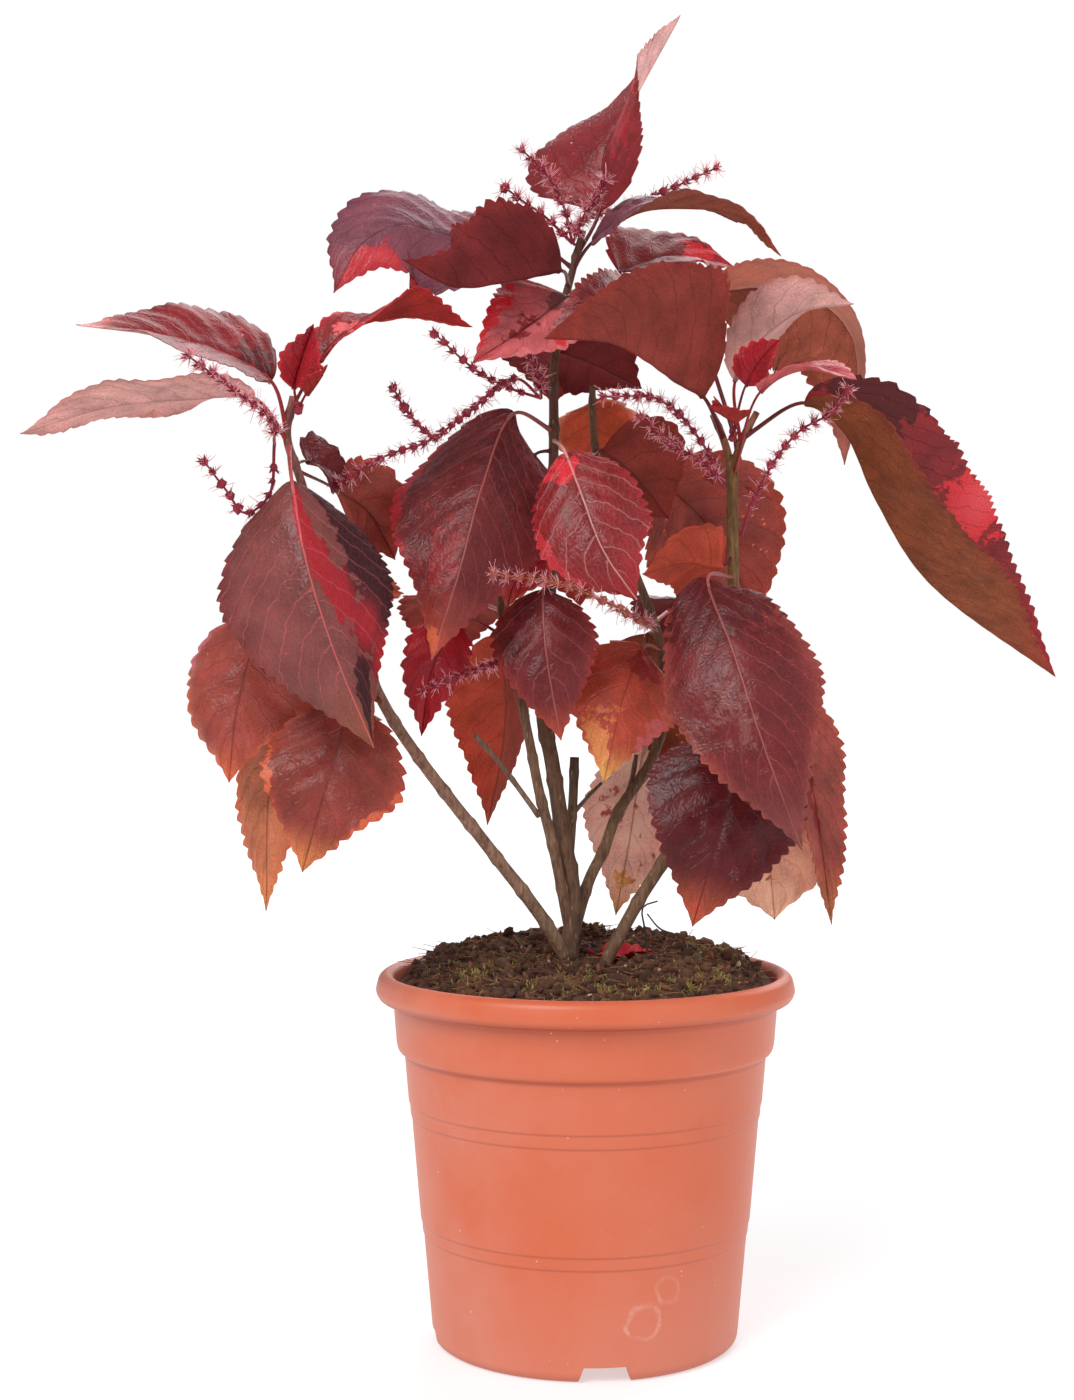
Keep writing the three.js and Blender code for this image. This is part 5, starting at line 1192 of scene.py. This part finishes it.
# Bracts: leafy and dull, dark crimson with a paler edge, and rusty brown where the spike has faded
bracts = {}
for name, deep, pale in [("crimson_bract", "#6a1826", "#b03c4e"), ("faded_bract", "#6e2c26", "#b5654e")]:
    bracts[name], tree = new_material(name)
    place = add(tree, "TexCoord").outputs["Object"]
    blush = add(tree, "TexNoise", {"Vector": place, "Scale": 300.0, "Detail": 3.0})
    red = add(tree, "Mix", {0: blush, 6: linear(deep), 7: linear(pale)}, data_type="RGBA")
    shader = add(tree, "BsdfPrincipled", {"Base Color": red, "Roughness": 0.6, "Specular IOR Level": 0.2})
    add(tree, "OutputMaterial", {"Surface": shader})

# Styles: fine moist threads, bright pink and a little see-through, so they look soft and light
style, tree = new_material("pink_feathery_style")
place = add(tree, "TexCoord").outputs["Object"]
blush = add(tree, "TexNoise", {"Vector": place, "Scale": 120.0, "Detail": 2.0})
pink = add(tree, "Mix", {0: blush, 6: linear("#c24a5e"), 7: linear("#f2a8ac")}, data_type="RGBA")
shader = add(tree, "BsdfPrincipled", {
    "Base Color": pink, "Roughness": 0.5,
    "Subsurface Weight": 1.0, "Subsurface Radius": (1.0, 0.6, 0.6), "Subsurface Scale": 0.0008,
})
add(tree, "OutputMaterial", {"Surface": shader})

# Each cluster: its bracts and its spikes, a spike being its course, and how densely the styles stand at its
# foot and at its tip
CATKINS = [
    ("top_catkins", "crimson_bract", [
        ([(-6, 5, 522), (-11, 2, 541), (-19, -2, 554), (-30, -6, 564)], 0.9, 0.8),
        ([(-6, 5, 522), (-20, 2, 535), (-29, -4, 540), (-38, -8, 546)], 0.9, 1.0),
        ([(-5, 7, 522), (-9, 14, 528), (4, 30, 540), (18, 44, 546), (38, 50, 555), (66, 52, 568)], 0.2, 0.6),
        ([(-6, 4, 522), (0, -6, 535), (5, -12, 541), (9, -17, 548)], 1.0, 1.0)]),
    ("centre_catkins", "crimson_bract", [
        ([(-21, 0, 448), (-33, -12, 456), (-54, -30, 439), (-72, -44, 424), (-92, -52, 416),
          (-112, -58, 404)], 0.2, 0.5),
        ([(-21, 0, 448), (-36, -8, 452), (-52, -22, 459), (-70, -32, 474)], 0.1, 0.3),
        ([(-21, 0, 448), (-22, -8, 458), (-27, -12, 466), (-30, -14, 474)], 0.6, 0.6),
        ([(-70, -44, 425), (-76, -47, 430), (-83, -49, 438), (-88, -51, 447)], 0.1, 0.3)]),
    ("left_catkins", "crimson_bract", [
        ([(-138, -84, 419), (-137, -107, 427), (-151, -127, 438), (-167, -138, 450)], 0.9, 1.0),
        ([(-138, -84, 419), (-140, -88, 396), (-150, -92, 388), (-158, -94, 398),
          (-167, -96, 410)], 0.0, 0.3)]),
    ("right_catkins", "crimson_bract", [
        ([(66, -3, 405), (54, -10, 427), (34, -22, 445), (8, -34, 445)], 0.5, 0.8),
        ([(66, -3, 405), (56, -14, 416), (40, -24, 424), (25, -30, 436)], 0.5, 0.8)]),
    ("right_spike_catkin", "crimson_bract", [
        ([(74, -3, 383), (78, -8, 396), (89, -14, 418), (100, -18, 431), (114, -22, 439),
          (121, -26, 449)], 0.0, 1.0)]),
    ("middle_catkin", "faded_bract", [
        ([(32, 9, 341), (30, -16, 341), (24, -44, 342), (8, -66, 350), (-14, -74, 358),
          (-42, -77, 362)], 0.3, 0.5)]),
    ("low_catkin", "crimson_bract", [
        ([(-36, -18, 324), (-46, -34, 321), (-60, -50, 316), (-74, -56, 311)], 0.3, 0.5)]),
]
FLOWER_SPACING = 6.2
BARE_SHARE = 0.16
BRACTS_PER_FLOWER = 6
FEWEST_STYLES = 2
FRESH_STYLES = 56

for name, bract, spikes in CATKINS:
    cores = []
    threads = []
    for number, (route, sparse, dense) in enumerate(spikes):
        dice = np.random.default_rng(len(name) + 10 * number)
        cores.append(swept(route, (0.75, 0.45), 8, 2.0)[:2])
        flowers = max(6, int(along(route, [0.0])[2][-1] / FLOWER_SPACING))
        share = np.linspace(BARE_SHARE, 1, flowers)
        middle, forward, _ = along(route, share)
        first = np.cross(forward, [0.3, 0.2, 0.93])
        first /= np.linalg.norm(first, axis=1, keepdims=True)
        second = np.cross(forward, first)
        cores.append(lumps_at(middle, dice.uniform(1.4, 2.5, flowers), 5 + number, rough=0.3))

        # Pointed bracts stand round each flower, leaning to the tip, each whorl turned on from the last.
        which = np.repeat(np.arange(flowers), BRACTS_PER_FLOWER)
        angle = 2.4 * which + np.tile(np.arange(BRACTS_PER_FLOWER) * np.pi / 3, flowers)
        spoke = np.cos(angle)[:, None] * first[which] + np.sin(angle)[:, None] * second[which]
        heading = spoke + 0.7 * forward[which] + dice.normal(0, 0.2, spoke.shape)
        longest = dice.uniform(1.7, 3.6, len(which))
        sag = 0.35 * forward[which]
        cores.append(strands(middle[which], heading, longest, 1.25, sag, steps=2, taper=0.95))

        # Styles spread from each flower, mostly sideways, and droop at random.
        fresh = sparse + (dense - sparse) * share
        amount = (FEWEST_STYLES + FRESH_STYLES * fresh * dice.uniform(0.5, 1.2, flowers)).astype(int)
        which = np.repeat(np.arange(flowers), amount)
        spread = dice.normal(0, 1, (len(which), 3))
        spread -= 0.6 * np.sum(spread * forward[which], 1, keepdims=True) * forward[which]
        spread /= np.linalg.norm(spread, axis=1, keepdims=True)
        heading = spread + 0.35 * forward[which]
        longest = dice.uniform(1.8, 4.8, len(which))
        sag = dice.normal(0, 0.28, heading.shape)
        threads.append(strands(middle[which] + spread, heading, longest, 0.22, sag, taper=0.5))
    piece(name + "_bracts", *merged(cores), [bracts[bract]], "catkin", [name])
    piece(name + "_styles", *merged(threads), [style], "catkin", [name])

# Shoot buds: three scales over one another, of the bracts' tissue, at the feet of the young leaves
for name, node, bud in [
    ("right_shoot_bud", "right_young_leaves", RIGHT_BUD),
    ("left_shoot_bud", "left_young_leaves", LEFT_BUD),
]:
    scales = np.array(bud) + [(0, 0, -1), (0.6, -0.5, 0.8), (-0.4, -0.8, 2)]
    points, faces = lumps_at(scales, [2.4, 2.0, 1.6], 3, rough=0.15)
    piece(name, points, faces, [bracts["crimson_bract"]], "leaf_crimson", [node])
